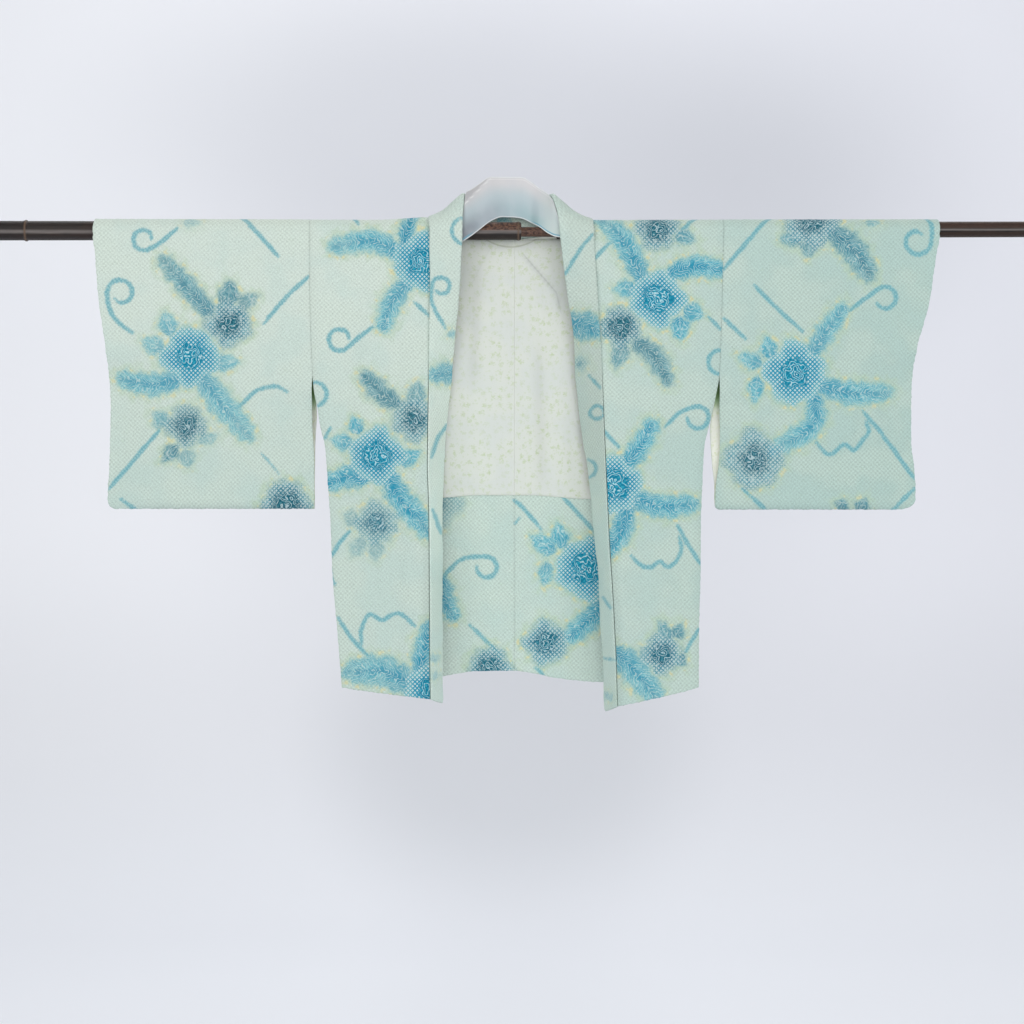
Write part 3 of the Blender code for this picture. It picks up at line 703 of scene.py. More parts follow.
# LEAVES: x0 v0 x1 v1 wide navy tone
LEAVES = [
    (-439, -120, -436, -79, 27, 1, 0.9),
    (-423, -116, -393, -102, 18, 0.9, 0.7),
    (-526, -161, -536, -127, 23, 0, 0.7),
    (-537, -183, -569, -170, 23, 0, 0.6),
    (-459, -205, -423, -202, 21, 0, 0.65),
    (-532, -300, -553, -280, 20, 0.4, 0.6),
    (-516, -330, -539, -353, 18, 1, 0.85),
    (-507, -337, -498, -363, 21, 0.6, 0.5),
    (-484, -323, -455, -316, 12, 0.4, 0.45),
    (-507, 12, -482, 12, 14, 0.1, 0.35),
    (-155, -272, -149, -234, 24, 0.8, 0.7),
    (-239, -313, -249, -287, 20, 0, 0.9),
    (-250, -328, -280, -320, 21, 0, 0.75),
    (-178, -355, -146, -341, 23, 0, 0.85),
    (-240, -443, -262, -436, 20, 0.7, 0.4),
    (-231, -472, -249, -498, 20, 0.6, 0.4),
    (-213, -476, -212, -505, 20, 0.7, 0.4),
    (243, -7, 272, -18, 21, 0.6, 0.8),
    (182, -91, 149, -92, 21, 0, 0.8),
    (255, -124, 286, -131, 24, 0, 0.85),
    (249, -134, 251, -171, 24, 0, 0.95),
    (165, -175, 151, -212, 23, 0.9, 0.75),
    (233, -627, 217, -598, 18, 0.8, 0.85),
    (240, -622, 253, -602, 18, 0.8, 0.8),
    (243, -651, 257, -663, 17, 0.9, 0.8),
    (201, -649, 189, -638, 18, 0.6, 0.35),
    (435, -14, 403, -16, 18, 0.7, 0.9),
    (448, -13, 445, -43, 23, 0.9, 0.8),
    (390, -198, 380, -164, 21, 0, 0.85),
    (375, -206, 339, -194, 21, 0, 0.75),
    (368, -225, 364, -263, 20, 0, 0.85),
    (495, -428, 502, -413, 17, 0.9, 0.8),
    (525, -430, 533, -412, 20, 0.9, 0.8),
    (533, 11, 555, 11, 12, 0.2, 0.5),
]
# ARMS: x0 v0 xm vm x1 v1 wide navy tone
ARMS = [
    (-467, -126, -502, -88, -536, -49, 26, 0.7, 0.8),
    (-515, -231, -557, -237, -602, -228, 29, 0, 0.8),
    (-482, -222, -451, -264, -409, -314, 33, 0, 0.75),
    (-173, -39, -221, -18, -277, -27, 29, 0, 0.85),
    (-169, -26, -166, -2, -158, 25, 21, 0.2, 0.95),
    (-166, -83, -189, -113, -202, -150, 27, 0, 0.8),
    (-182, -268, -207, -249, -230, -225, 27, 0.9, 0.8),
    (-231, -380, -257, -378, -289, -389, 29, 0, 0.9),
    (-194, -376, -177, -409, -130, -463, 32, 0, 0.95),
    (-161, -691, -204, -672, -251, -674, 40, 0.1, 0.85),
    (-146, -676, -139, -642, -129, -603, 27, 0.1, 0.95),
    (192, -77, 164, -18, 123, 25, 30, 0.1, 0.9),
    (236, -69, 272, -57, 323, -64, 27, 0, 0.95),
    (184, -173, 212, -196, 231, -231, 27, 0.9, 0.8),
    (159, -366, 186, -336, 207, -298, 27, 0, 0.95),
    (180, -411, 222, -424, 272, -419, 30, 0, 0.9),
    (167, -426, 160, -459, 136, -494, 30, 0.1, 0.95),
    (149, -645, 178, -669, 213, -715, 36, 0.05, 0.85),
    (480, -4, 511, -28, 539, -71, 33, 0.8, 0.9),
    (453, -187, 472, -158, 498, -121, 26, 0, 0.75),
    (466, -239, 511, -250, 568, -249, 30, 0, 0.85),
    (456, -255, 452, -301, 388, -340, 27, 0, 0.85),
]
# STROKES: wide, then points
STROKES = [
    (5.5, (-440, 48), (-421, 25), (-362, -42)),
    (5.5, (-315, -72), (-350, -104), (-384, -144)),
    (5.5, (-544, -307), (-581, -349), (-622, -396)),
    (5.5, (-604, -412), (-578, -430)),
    (5.5, (-422, -270), (-395, -246), (-365, -240), (-349, -248)),
    (5.5, (-262, 44), (-249, 25), (-240, 8)),
    (5.5, (-155, -112), (-132, -133)),
    (5.5, (-253, -461), (-266, -476), (-280, -498)),
    (5.5, (-282, -514), (-281, -530), (-275, -541)),
    (5.5, (-234, -631), (-234, -609), (-222, -587), (-203, -595), (-186, -586), (-172, -587), (-153, -604)),
    (5.5, (-270, -592), (-251, -620), (-225, -649)),
    (5.5, (-283, -304), (-291, -319)),
    (5.5, (253, -2), (277, 25), (290, 40)),
    (5.5, (119, -46), (142, -23)),
    (5.5, (294, -135), (312, -153)),
    (5.5, (315, -63), (336, -39), (390, 25), (408, 46)),
    (5.5, (363, -86), (392, -115), (437, -156)),
    (5.5, (316, -136), (350, -168)),
    (5.5, (458, -325), (478, -344), (501, -328), (516, -337), (529, -322), (538, -309), (534, -294)),
    (5.5, (529, -277), (566, -322), (609, -380)),
    (5.5, (346, -396), (385, -430)),
    (5.5, (609, -396), (576, -428)),
    (5.5, (133, -308), (156, -333)),
    (5.5, (245, -452), (262, -482), (281, -511)),
    (5.5, (174, -498), (190, -513), (205, -515), (218, -507), (230, -515), (241, -508), (251, -490), (248, -470)),
    (5.5, (258, -642), (277, -610)),
    (3.4, (-388, -342), (-362, -373)),
]
# SPIRALS: x v radius, start and turn in degrees, inner share, wide, then tail points
SPIRALS = [
    (-566, -15, 18, 0, 285, 0.6, 5.8, (-537, -18), (-516, 2)),
    (-602, -98, 21, 225, 315, 0.62, 5.8, (-619, -123), (-606, -142), (-584, -159)),
    (-268, -168, 18, 5, 285, 0.75, 5.8, (-244, -170), (-219, -150)),
    (611, -18, 22, 50, 315, 0.55, 5.8, (633, 6), (624, 25)),
    (562, -106, 18, 210, 255, 0.8, 5.8, (531, -107), (510, -124)),
    (276, -288, 18, 180, 290, 0.85, 5.8, (247, -282), (226, -302)),
    (-306, -252, 18, 95, -190, 1.0, 5.8),
    (311, -203, 18, 80, 200, 1.0, 5.8),
]
FACING_FLOWERS = [
    (109, -519, 46, 24, 0, 1.0),
    (46, -633, 33, 18, 0.8, 1.0),
    (-40, -673, 32, 18, 0.9, 1.0),
    (-117, -418, 33, 12, 0.8, 0.5),
    (-226, -560, 42, 22, 0, 0.95),
    (212, -640, 40, 21, 0.9, 0.9),
]
FACING_LEAVES = [
    (73, -487, 63, -449, 23, 0, 0.9),
    (61, -493, 23, -469, 23, 0, 0.85),
    (49, -508, 43, -546, 18, 0.1, 0.8),
    (-245, -520, -262, -492, 21, 0, 0.8),
    (235, -600, 252, -572, 21, 0.8, 0.8),
]
FACING_ARMS = [
    (135, -574, 111, -601, 79, -626, 30, 0, 0.9),
    (-116, -537, -112, -567, -97, -591, 30, 0, 0.8),
    (-210, -598, -190, -630, -158, -660, 29, 0, 0.85),
    (192, -602, 184, -560, 196, -520, 28, 0.7, 0.85),
]
FACING_STROKES = [
    (5.5, (-3, -413), (13, -427), (38, -457)),
    (5.5, (70, -406), (93, -431), (124, -465)),
    (4.5, (-1, -449), (5, -441)),
    (5.5, (-71, -606), (-28, -649)),
    (5.5, (30, -672), (42, -682)),
    (5.5, (-190, -430), (-232, -474)),
    (5.5, (190, -440), (246, -500)),
]
FACING_SPIRALS = [(-46, -517, 17, 175, 285, 0.85, 5.8, (-77, -502), (-95, -513), (-116, -536))]
COLLAR_FLOWERS = [(99, -204, 11, 5, 0.3, 0.4)]
COLLAR_ARMS = [
    (-84, -213, -106, -219, -127, -224, 27, 0.15, 0.75),
    (80, -145, 104, -148, 126, -156, 36, 0.1, 0.85),
]
COLLAR_LEAVES = [
    (-129, -656, -119, -651, 9, 0.1, 0.42),
    (-127, -678, -119, -682, 8, 0.1, 0.42),
    (138, -716, 146, -708, 11, 0.1, 0.45),
    (-100, -155, -96, -164, 12, 0, 0.5),
]
COLLAR_STROKES = [
    (9.0, (-26, 18), (-17, 19), (-8, 18)),
    (4.9, (116, -9), (97, -33), (76, -68)),
    (4.9, (112, -223), (128, -243)),
    (4.9, (-106, -297), (-120, -319), (-129, -348)),
    (4.9, (-127, -428), (-116, -464)),
    (4.9, (134, -562), (144, -577)),
    (4.9, (137, -655), (152, -655)),
]
COLLAR_SPIRALS = [
    (-78, -4, 20, 95, 175, 1.0, 5.0),
    (-114, -88, 14, 225, 315, 0.75, 5.4, (-130, -105), (-123, -126), (-108, -151)),
    (124, -280, 10, 0, 360, 1.0, 4.6),
    (109, -365, 14, 80, -160, 1.0, 4.6),
]
# The back, unseen, is dyed in the same manner: where each spray stands on it
# (x, z), which way it points, its size and whether it is navy.
BACK_SPRAYS = [
    (-190, -120, 200, 1.0, 0),
    (-118, -196, 60, 0.8, 1),
    (120, -90, 300, 0.8, 1),
    (208, -178, 130, 1.0, 0),
    (60, -300, 330, 1.0, 0),
    (-60, -372, 150, 0.78, 1),
    (-214, -420, 20, 1.0, 0),
    (150, -452, 220, 0.8, 1),
    (222, -560, 80, 1.0, 0),
    (-120, -588, 340, 1.0, 0),
    (20, -620, 200, 0.75, 1),
    (-228, -648, 100, 0.75, 1),
    (-470, -110, 160, 1.0, 0),
    (-560, -230, 40, 0.8, 1),
    (-398, -300, 250, 1.0, 0),
    (420, -160, 20, 1.0, 0),
    (540, -90, 200, 0.8, 1),
    (520, -320, 310, 1.0, 0),
    (372, -370, 150, 0.75, 1),
]
BACK_STROKES = [
    (5.5, (-280, -190), (-236, -250)),
    (5.5, (-40, -80), (-4, -40)),
    (5.5, (10, -150), (52, -206)),
    (5.5, (250, -300), (206, -352)),
    (5.5, (-262, -300), (-228, -338)),
    (5.5, (-30, -470), (16, -520)),
    (5.5, (60, -540), (98, -586)),
    (5.5, (-20, -250), (-48, -290)),
    (5.5, (-600, -60), (-560, -120)),
    (5.5, (-340, -90), (-380, -40)),
    (5.5, (-520, -330), (-470, -392)),
    (5.5, (600, -200), (560, -250)),
    (5.5, (350, -80), (330, -140)),
    (5.5, (440, -260), (410, -300)),
]
BACK_SPIRALS = [
    (-60, -150, 20, 0, 285, 0.6, 5.8, (-24, -166), (0, -146)),
    (150, -250, 19, 180, 290, 0.85, 5.8, (120, -244), (98, -262)),
    (-150, -500, 20, 225, 315, 0.62, 5.8, (-168, -526), (-150, -548)),
    (-570, -340, 20, 0, 285, 0.6, 5.8, (-534, -356), (-512, -336)),
    (590, -400, 18, 50, 315, 0.6, 5.8, (606, -380), (600, -360)),
]


def spray(x, z, turn, size, navy):
    """A flower with its leaves and feathered arms, turned about its middle."""
    a = math.radians(turn)
    ca, sa = math.cos(a), math.sin(a)

    def at(px, pz):
        return (x + size * (px * ca - pz * sa), z + size * (px * sa + pz * ca))

    flowers = [(x, z, 42 * size, 21 * size, navy, 0.95)]
    leaves, arms = [], []
    for x0, z0, x1, z1, w in ((-30, 26, -40, 62, 22), (-42, 4, -76, 12, 22), (34, -24, 62, -38, 21)):
        leaves.append((*at(x0, z0), *at(x1, z1), w * size, navy, 0.8))
    for x0, z0, xm, zm, x1, z1, w in ((26, 34, 46, 66, 78, 98, 28), (-10, -40, -2, -80, -34, -122, 30)):
        arms.append((*at(x0, z0), *at(xm, zm), *at(x1, z1), w * size, navy, 0.88))
    if not navy:
        arms.append((*at(40, -6), *at(80, -14), *at(128, -4), 28 * size, navy, 0.88))
    return flowers, leaves, arms


def curve_through(points, fine=7):
    pts = np.array(points, float)
    if len(pts) < 3:
        return pts
    ext = np.vstack([2 * pts[0] - pts[1], pts, 2 * pts[-1] - pts[-2]])
    out = []
    for i in range(1, len(ext) - 2):
        p0, p1, p2, p3 = ext[i - 1 : i + 3]
        for t in np.linspace(0, 1, fine, endpoint=False):
            out.append(
                0.5
                * (
                    2 * p1
                    + (p2 - p0) * t
                    + (2 * p0 - 5 * p1 + 4 * p2 - p3) * t * t
                    + (3 * p1 - p0 - 3 * p2 + p3) * t**3
                )
            )
    out.append(ext[-2])
    return np.array(out)


def spiral_points(x, v, r, start, turn, inner, tail):
    pts = []
    count = max(6, int(abs(turn) / 18))
    for i in range(count + 1):
        t = i / count
        a = math.radians(start + turn * t)
        radius = r * (inner + (1 - inner) * min(1.0, t * 1.25))
        pts.append((x + radius * math.cos(a), v + radius * math.sin(a)))
    rest = curve_through([pts[-2], pts[-1], *tail], 6)[6:] if tail else np.zeros((0, 2))
    return np.vstack([np.array(pts), rest]) if len(rest) else np.array(pts)


def along(u, v, pts):
    """Distance to a polyline, the length along it and the signed side."""
    best = np.full(u.shape, 1e9)
    s_at = np.zeros(u.shape)
    side = np.zeros(u.shape)
    run = 0.0
    for (x0, y0), (x1, y1) in zip(pts[:-1], pts[1:]):
        dx, dy = x1 - x0, y1 - y0
        length = max(1e-6, math.hypot(dx, dy))
        t = np.clip(((u - x0) * dx + (v - y0) * dy) / length**2, 0, 1)
        ex, ey = u - (x0 + t * dx), v - (y0 + t * dy)
        dist = np.hypot(ex, ey)
        better = dist < best
        best = np.where(better, dist, best)
        s_at = np.where(better, run + t * length, s_at)
        side = np.where(better, np.where(dx * ey - dy * ex >= 0, dist, -dist), side)
        run += length
    return best, s_at, side, run


FAR = 22.0


def dye(u, v, flowers, leaves, arms, strokes, spirals):
    """The fields that the dyed patterns are drawn from, at every point (u, v)."""
    shape = u.shape
    u, v = u.ravel(), v.ravel()
    leaf = np.full(u.shape, FAR)
    ring = np.full(u.shape, FAR)
    core = np.full(u.shape, FAR)
    line = np.full(u.shape, FAR)
    weight = np.full(u.shape, 1e-6)
    navy_sum = np.zeros(u.shape)
    tone_sum = np.full(u.shape, 1e-6)
    s_at, d_at, kind = np.zeros(u.shape), np.zeros(u.shape), np.zeros(u.shape)

    def pick(xs, vs, margin):
        return np.where(
            (u > min(xs) - margin) & (u < max(xs) + margin) & (v > min(vs) - margin) & (v < max(vs) + margin)
        )[0]

    def weigh(i, dist, navy, tone):
        w = np.exp(-np.clip(dist, -8, FAR) / 3.0)
        weight[i] += w
        navy_sum[i] += w * navy
        tone_sum[i] += w * tone

    for x, y, r, c, navy, tone in flowers:
        i = pick((x, x), (y, y), r * 1.2 + FAR)
        if not len(i):
            continue
        dx, dy = u[i] - x, v[i] - y
        rho, th = np.hypot(dx, dy), np.arctan2(dy, dx)
        ph = 0.37 * x + 0.21 * y
        petal = 1 + 0.07 * np.cos(4 * th) + 0.07 * np.cos(5 * th + ph) + 0.03 * np.cos(9 * th - ph)
        d = rho - r * petal
        ring[i] = np.minimum(ring[i], d)
        lump = 1 + 0.05 * np.cos(5 * th + ph) + 0.05 * np.cos(3 * th - ph) + 0.03 * np.cos(2 * th + 2 * ph)
        core[i] = np.minimum(core[i], rho - c * lump)
        weigh(i, d - 2.0, navy, tone)
    for x0, y0, x1, y1, w, navy, tone in leaves:
        i = pick((x0, x1), (y0, y1), w + FAR)
        if not len(i):
            continue
        length = math.hypot(x1 - x0, y1 - y0)
        tx, ty = (x1 - x0) / length, (y1 - y0) / length
        s = (u[i] - x0) * tx + (v[i] - y0) * ty
        d = -(u[i] - x0) * ty + (v[i] - y0) * tx
        t = np.clip(s / length, 0, 1)
        half = 0.57 * w * np.sin(math.pi * t**0.8) ** 0.75 + 0.4
        over = np.maximum(np.maximum(-s, s - length), 0)
        q = np.abs(d) - half
        dist = np.where(over > 0, np.hypot(np.maximum(q, 0), over), q)
        closer = dist < leaf[i]
        s_at[i] = np.where(closer, s, s_at[i])
        d_at[i] = np.where(closer, d, d_at[i])
        kind[i] = np.where(closer, 0.0, kind[i])
        leaf[i] = np.minimum(leaf[i], dist)
        weigh(i, dist, navy, tone)
    for x0, y0, xm, ym, x1, y1, w, navy, tone in arms:
        i = pick((x0, xm, x1), (y0, ym, y1), w + FAR)
        if not len(i):
            continue
        pts = curve_through([(x0, y0), (xm, ym), (x1, y1)], 5)
        dist, s, d, total = along(u[i], v[i], pts)
        t = s / total
        half = 0.54 * w * (0.80 + 0.26 * np.sin(math.pi * np.clip(t * 1.1, 0, 1)))
        half = half * (1 + 0.09 * np.cos(s * 0.26 + 0.3 * x0) + 0.04 * np.cos(s * 0.61 + 0.11 * y0))
        dist = dist - half * np.where((t <= 0) | (t >= 1), 0.7, 1.0)
        closer = dist < leaf[i]
        s_at[i] = np.where(closer, s, s_at[i])
        d_at[i] = np.where(closer, d, d_at[i])
        kind[i] = np.where(closer, 1.0, kind[i])
        leaf[i] = np.minimum(leaf[i], dist)
        weigh(i, dist, navy, tone)
    lines = [(row[0], curve_through(row[1:])) for row in strokes]
    lines += [(row[6], spiral_points(*row[:6], row[7:])) for row in spirals]
    for w, pts in lines:
        i = pick(pts[:, 0], pts[:, 1], FAR)
        if not len(i):
            continue
        dist, s, _, total = along(u[i], v[i], pts)
        taper = 0.72 + 0.28 * ease(np.minimum(s, total - s) / 14.0)
        line[i] = np.minimum(line[i], dist - 0.62 * w * taper)
    out = dict(
        shape=np.stack([leaf, ring, line], -1),
        core=np.stack([core, navy_sum / weight, tone_sum / weight], -1),
        grain=np.stack([s_at, d_at, kind], -1),
    )
    return {k: a.reshape(*shape, 3) for k, a in out.items()}


def strip_dye(x, v, sleeve):
    """The body and the sleeves: the front listed one by one, the back after its own rows.
    A figure ends with its own width of cloth, so each row goes to one of the two."""
    flowers, leaves, arms = list(FLOWERS), list(LEAVES), list(ARMS)
    strokes, spirals = list(STROKES), list(SPIRALS)
    top = 2 * TOP_V

    def turned(row, pairs):
        row = list(row)
        for k in pairs:
            row[k] = top - row[k]
        return tuple(row)

    for place in BACK_SPRAYS:
        f, l, a = spray(*place)
        flowers += [turned(r, (1,)) for r in f]
        leaves += [turned(r, (1, 3)) for r in l]
        arms += [turned(r, (1, 3, 5)) for r in a]
    for row in BACK_STROKES:
        strokes.append((row[0], *[(px, top - pz) for px, pz in row[1:]]))
    for row in BACK_SPIRALS:
        tail = [(px, top - pz) for px, pz in row[7:]]
        spirals.append((row[0], top - row[1], row[2], -row[3], -row[4], row[5], row[6], *tail))

    def here(middle):
        return (abs(middle) > 314.5) == sleeve

    flowers = [r for r in flowers if here(r[0])]
    leaves = [r for r in leaves if here((r[0] + r[2]) / 2)]
    arms = [r for r in arms if here(r[2])]
    strokes = [r for r in strokes if here(sum(q[0] for q in r[1:]) / len(r[1:]))]
    spirals = [r for r in spirals if here(r[0])]
    return dye(x, v, flowers, leaves, arms, strokes, spirals)


# ------------------------------------------------------------------------ materials
def lin(r, g, b):
    def one(c):
        c /= 255.0
        return c / 12.92 if c <= 0.04045 else ((c + 0.055) / 1.055) ** 2.4

    return (one(r), one(g), one(b), 1.0)


class Graph:
    def __init__(self, name):
        self.mat = bpy.data.materials.new(name)
        self.mat.use_nodes = True
        self.tree = self.mat.node_tree
        self.tree.nodes.clear()
        self.out = self.tree.nodes.new("ShaderNodeOutputMaterial")
        self.bsdf = self.tree.nodes.new("ShaderNodeBsdfPrincipled")
        self.tree.links.new(self.bsdf.outputs["BSDF"], self.out.inputs["Surface"])

    def put(self, socket, value):
        if isinstance(value, bpy.types.NodeSocket):
            self.tree.links.new(value, socket)
        elif value is not None:
            socket.default_value = value

    def math(self, op, a, b=None, c=None, clamp=False):
        n = self.tree.nodes.new("ShaderNodeMath")
        n.operation = op
        n.use_clamp = clamp
        for s, v in zip(n.inputs, (a, b, c)):
            self.put(s, v)
        return n.outputs[0]

    def add(self, a, b):
        return self.math("ADD", a, b)

    def sub(self, a, b):
        return self.math("SUBTRACT", a, b)

    def mul(self, a, b, clamp=False):
        return self.math("MULTIPLY", a, b, clamp=clamp)

    def mad(self, a, b, c):
        return self.math("MULTIPLY_ADD", a, b, c)

    def low(self, a, b):
        return self.math("MINIMUM", a, b)

    def high(self, a, b):
        return self.math("MAXIMUM", a, b)

    def step(self, x, lo, hi):
        """0 at lo and 1 at hi, smoothly; lo may be the larger."""
        n = self.tree.nodes.new("ShaderNodeMapRange")
        n.interpolation_type = "SMOOTHSTEP"
        self.put(n.inputs["Value"], x)
        if lo <= hi:
            n.inputs["From Min"].default_value, n.inputs["From Max"].default_value = lo, hi
        else:
            n.inputs["From Min"].default_value, n.inputs["From Max"].default_value = hi, lo
            n.inputs["To Min"].default_value, n.inputs["To Max"].default_value = 1.0, 0.0
        return n.outputs["Result"]

    def attr(self, name):
        n = self.tree.nodes.new("ShaderNodeAttribute")
        n.attribute_name = name
        return n.outputs["Vector"]

    def split(self, vector):
        n = self.tree.nodes.new("ShaderNodeSeparateXYZ")
        self.tree.links.new(vector, n.inputs[0])
        return n.outputs[0], n.outputs[1], n.outputs[2]

    def join(self, x, y, z=0.0):
        n = self.tree.nodes.new("ShaderNodeCombineXYZ")
        for s, v in zip(n.inputs, (x, y, z)):
            self.put(s, v)
        return n.outputs[0]

    def noise(self, vector, scale, detail=2.0, rough=0.5, dims="2D"):
        n = self.tree.nodes.new("ShaderNodeTexNoise")
        n.noise_dimensions = dims
        self.put(n.inputs["Vector"], vector)
        n.inputs["Scale"].default_value = scale
        n.inputs["Detail"].default_value = detail
        n.inputs["Roughness"].default_value = rough
        return n

    def mix(self, fac, a, b):
        n = self.tree.nodes.new("ShaderNodeMix")
        n.data_type = "RGBA"
        n.clamp_factor = True
        self.put(n.inputs["Factor"], fac)
        self.put(n.inputs[6], a)
        self.put(n.inputs[7], b)
        return n.outputs[2]

    def times(self, colour, factor):
        """Colour times a number."""
        n = self.tree.nodes.new("ShaderNodeVectorMath")
        n.operation = "SCALE"
        self.put(n.inputs[0], colour)
        self.put(n.inputs["Scale"], factor)
        return n.outputs[0]

    def bump(self, height, distance, strength=1.0, normal=None):
        n = self.tree.nodes.new("ShaderNodeBump")
        n.inputs["Strength"].default_value = strength
        n.inputs["Distance"].default_value = distance
        self.put(n.inputs["Height"], height)
        self.put(n.inputs["Normal"], normal)
        return n.outputs[0]

    def finish(self, colour, roughness, normal=None, **fixed):
        self.put(self.bsdf.inputs["Base Color"], colour)
        self.put(self.bsdf.inputs["Roughness"], roughness)
        self.put(self.bsdf.inputs["Normal"], normal)
        for k, v in fixed.items():
            self.bsdf.inputs[k.replace("_", " ")].default_value = v
        return self.mat


PITCH = 4.7  # of the tied points, along the bias
MINT_L, MINT_R = lin(203, 217, 208), lin(168, 195, 188)


def crepe():
    g = Graph("shibori_crepe")
    cut = g.attr("cut")
    u, v, _ = g.split(cut)
    d_leaf, d_ring, d_line = g.split(g.attr("shape"))
    d_core, navy, tone = g.split(g.attr("core"))
    s, d, arm = g.split(g.attr("grain"))
    edge, cast, shade = g.split(g.attr("edge_and_shading"))
    warp = g.noise(cut, 0.085, 2.0)
    wx, wy, wz = g.split(warp.outputs["Color"])
    wx, wy, wz = g.sub(wx, 0.5), g.sub(wy, 0.5), g.sub(wz, 0.5)
    slow = g.noise(cut, 0.013, 2.0).outputs["Fac"]
    fuzz = g.sub(g.noise(cut, 0.42, 2.0, 0.6).outputs["Fac"], 0.5)
    k = 2 * math.pi / (math.sqrt(2) * PITCH)
    a = g.mul(g.add(u, v), k)
    b = g.mul(g.sub(u, v), k)
    ca = g.math("COSINE", g.mad(wx, 2.2, a))
    cb = g.math("COSINE", g.mad(wy, 2.2, b))
    cell = g.mad(g.add(ca, cb), 0.25, 0.5)
    # the same points, wandering, where the dye was tied freely
    ca2 = g.math("COSINE", g.mad(wx, 13.0, g.mul(a, 0.92)))
    cb2 = g.math("COSINE", g.mad(wz, 13.0, g.mul(b, 0.92)))
    wander = g.add(g.mad(g.add(ca2, cb2), 0.25, 0.5), g.mul(fuzz, 0.35))
    # thin pale paths between the ties: along the barbs of a feathered arm, round
    # inside the rim of a leaf, and curling in a flower
    side = g.math("ABSOLUTE", d)
    field = g.noise(cut, 0.078, 1.0).outputs["Fac"]
    barbs = g.mul(arm, g.mul(g.sub(s, g.mul(side, 1.2)), 0.46))
    rims = g.mul(g.sub(1.0, arm), g.mul(d_leaf, 0.44))
    leads = g.add(g.add(barbs, rims), g.mad(fuzz, 1.3, g.mul(field, 11.0)))
    path = g.mul(g.step(g.math("ABSOLUTE", g.math("COSINE", leads)), 0.58, 0.16), g.mad(cell, 0.4, 0.7))
    curls = g.math("COSINE", g.add(g.mul(d_core, 0.50), g.mad(fuzz, 1.4, g.mul(field, 15.0))))
    curl = g.step(g.math("ABSOLUTE", curls), 0.58, 0.18)

    # ground
    colour = g.mix(cast, MINT_L, MINT_R)
    colour = g.mix(g.mul(g.step(slow, 0.44, 0.64), 0.22), colour, lin(204, 217, 204))
    colour = g.mix(g.mul(g.step(slow, 0.5, 0.34), 0.15), colour, lin(174, 205, 201))
    near = g.low(d_leaf, d_ring)
    halo = g.step(g.mad(wz, 30.0, near), 18.0, 1.0)
    colour = g.mix(g.mul(g.mul(halo, tone), 0.60), colour, lin(176, 199, 172))
    spots = g.step(g.add(g.mul(wy, 1.0), g.mul(wx, 0.9)), 0.10, 0.24)
    band = g.mul(g.step(near, 12.0, 6.0), g.step(near, 0.0, 4.0))
    colour = g.mix(g.mul(g.mul(g.mul(spots, band), tone), 0.60), colour, lin(216, 207, 152))
    # blue that bled past the ties
    bleed = g.step(g.add(g.mul(wx, 14.0), near), 7.0, -1.5)
    hazy = g.mix(navy, lin(138, 188, 190), lin(132, 168, 172))
    colour = g.mix(g.mul(g.mul(bleed, tone), 0.55), colour, hazy)
    # lighter and darker over the tied lattice: the ties' own dye together with painted shade of their puckers,
    # stronger where the cloth is darker and greener
    relief_shade = g.add(g.mul(g.step(slow, 0.36, 0.62), 0.08), g.mad(cast, 0.05, 0.10))
    colour = g.times(colour, g.add(g.mul(g.sub(cell, 0.5), relief_shade), 1.0))
    grit = g.sub(g.noise(cut, 0.62, 1.0, 0.5).outputs["Fac"], 0.5)
    colour = g.times(colour, g.mad(g.add(fuzz, grit), 0.30, 1.0))

    # drawn lines
    ragged = g.add(g.mul(wx, 3.2), g.add(g.mul(g.sub(cell, 0.5), -1.6), g.mul(fuzz, 3.2)))
    line = g.step(g.add(d_line, ragged), 1.8, -1.8)
    inked = g.mix(g.step(g.add(cell, g.mul(fuzz, 0.5)), 0.3, 0.9), lin(92, 162, 176), lin(136, 188, 192))
    colour = g.mix(g.mul(line, 0.84), colour, inked)

    # leaves and feathered arms
    blotch = g.step(g.add(wy, g.mul(fuzz, 0.7)), -0.10, 0.12)
    mid = g.mix(navy, lin(92, 173, 190), lin(90, 148, 160))
    deep = g.mix(navy, lin(22, 138, 169), lin(46, 114, 131))
    light = g.mix(navy, lin(143, 199, 204), lin(138, 180, 185))
    pale = g.mix(navy, lin(192, 215, 212), lin(188, 206, 203))
    body = g.mix(g.mul(blotch, 0.8), mid, light)
    centre = g.mul(arm, g.step(g.add(side, g.mul(wy, 12.0)), 8.0, 0.0))
    body = g.mix(g.mul(centre, 0.7), body, deep)
    root = g.mul(arm, g.step(g.add(s, g.mul(wz, 40.0)), 56.0, 6.0))
    body = g.mix(g.mul(root, 0.5), body, deep)
    base = g.mul(g.sub(1.0, arm), g.step(g.add(s, g.mul(wz, 18.0)), 24.0, 0.0))
    body = g.mix(g.mul(base, 0.6), body, deep)
    body = g.mix(g.mul(g.step(wander, 0.60, 0.30), 0.45), body, deep)
    broken = g.step(g.add(wz, g.mul(fuzz, 0.9)), -0.22, 0.06)
    body = g.mix(g.mul(path, g.mad(broken, 0.40, 0.44)), body, pale)
    rib = g.step(side, 1.6, 0.4)
    body = g.mix(g.mul(g.mul(rib, g.sub(1.0, arm)), 0.3), body, pale)
    ragged = g.add(g.add(g.mul(wx, 10.0), g.mul(fuzz, 9.0)), g.mul(g.sub(wander, 0.5), -3.0))
    soft = g.step(g.add(d_leaf, ragged), 3.6, -4.6)
    # thinner towards the tip of an arm and along its sides
    thin = g.mul(arm, g.high(g.step(s, 62.0, 104.0), g.mul(g.step(side, 7.0, 14.0), 0.8)))
    soft = g.mul(soft, g.sub(1.0, g.mul(thin, 0.26)))
    colour = g.mix(g.mul(soft, g.mul(tone, 1.06, True)), colour, body)

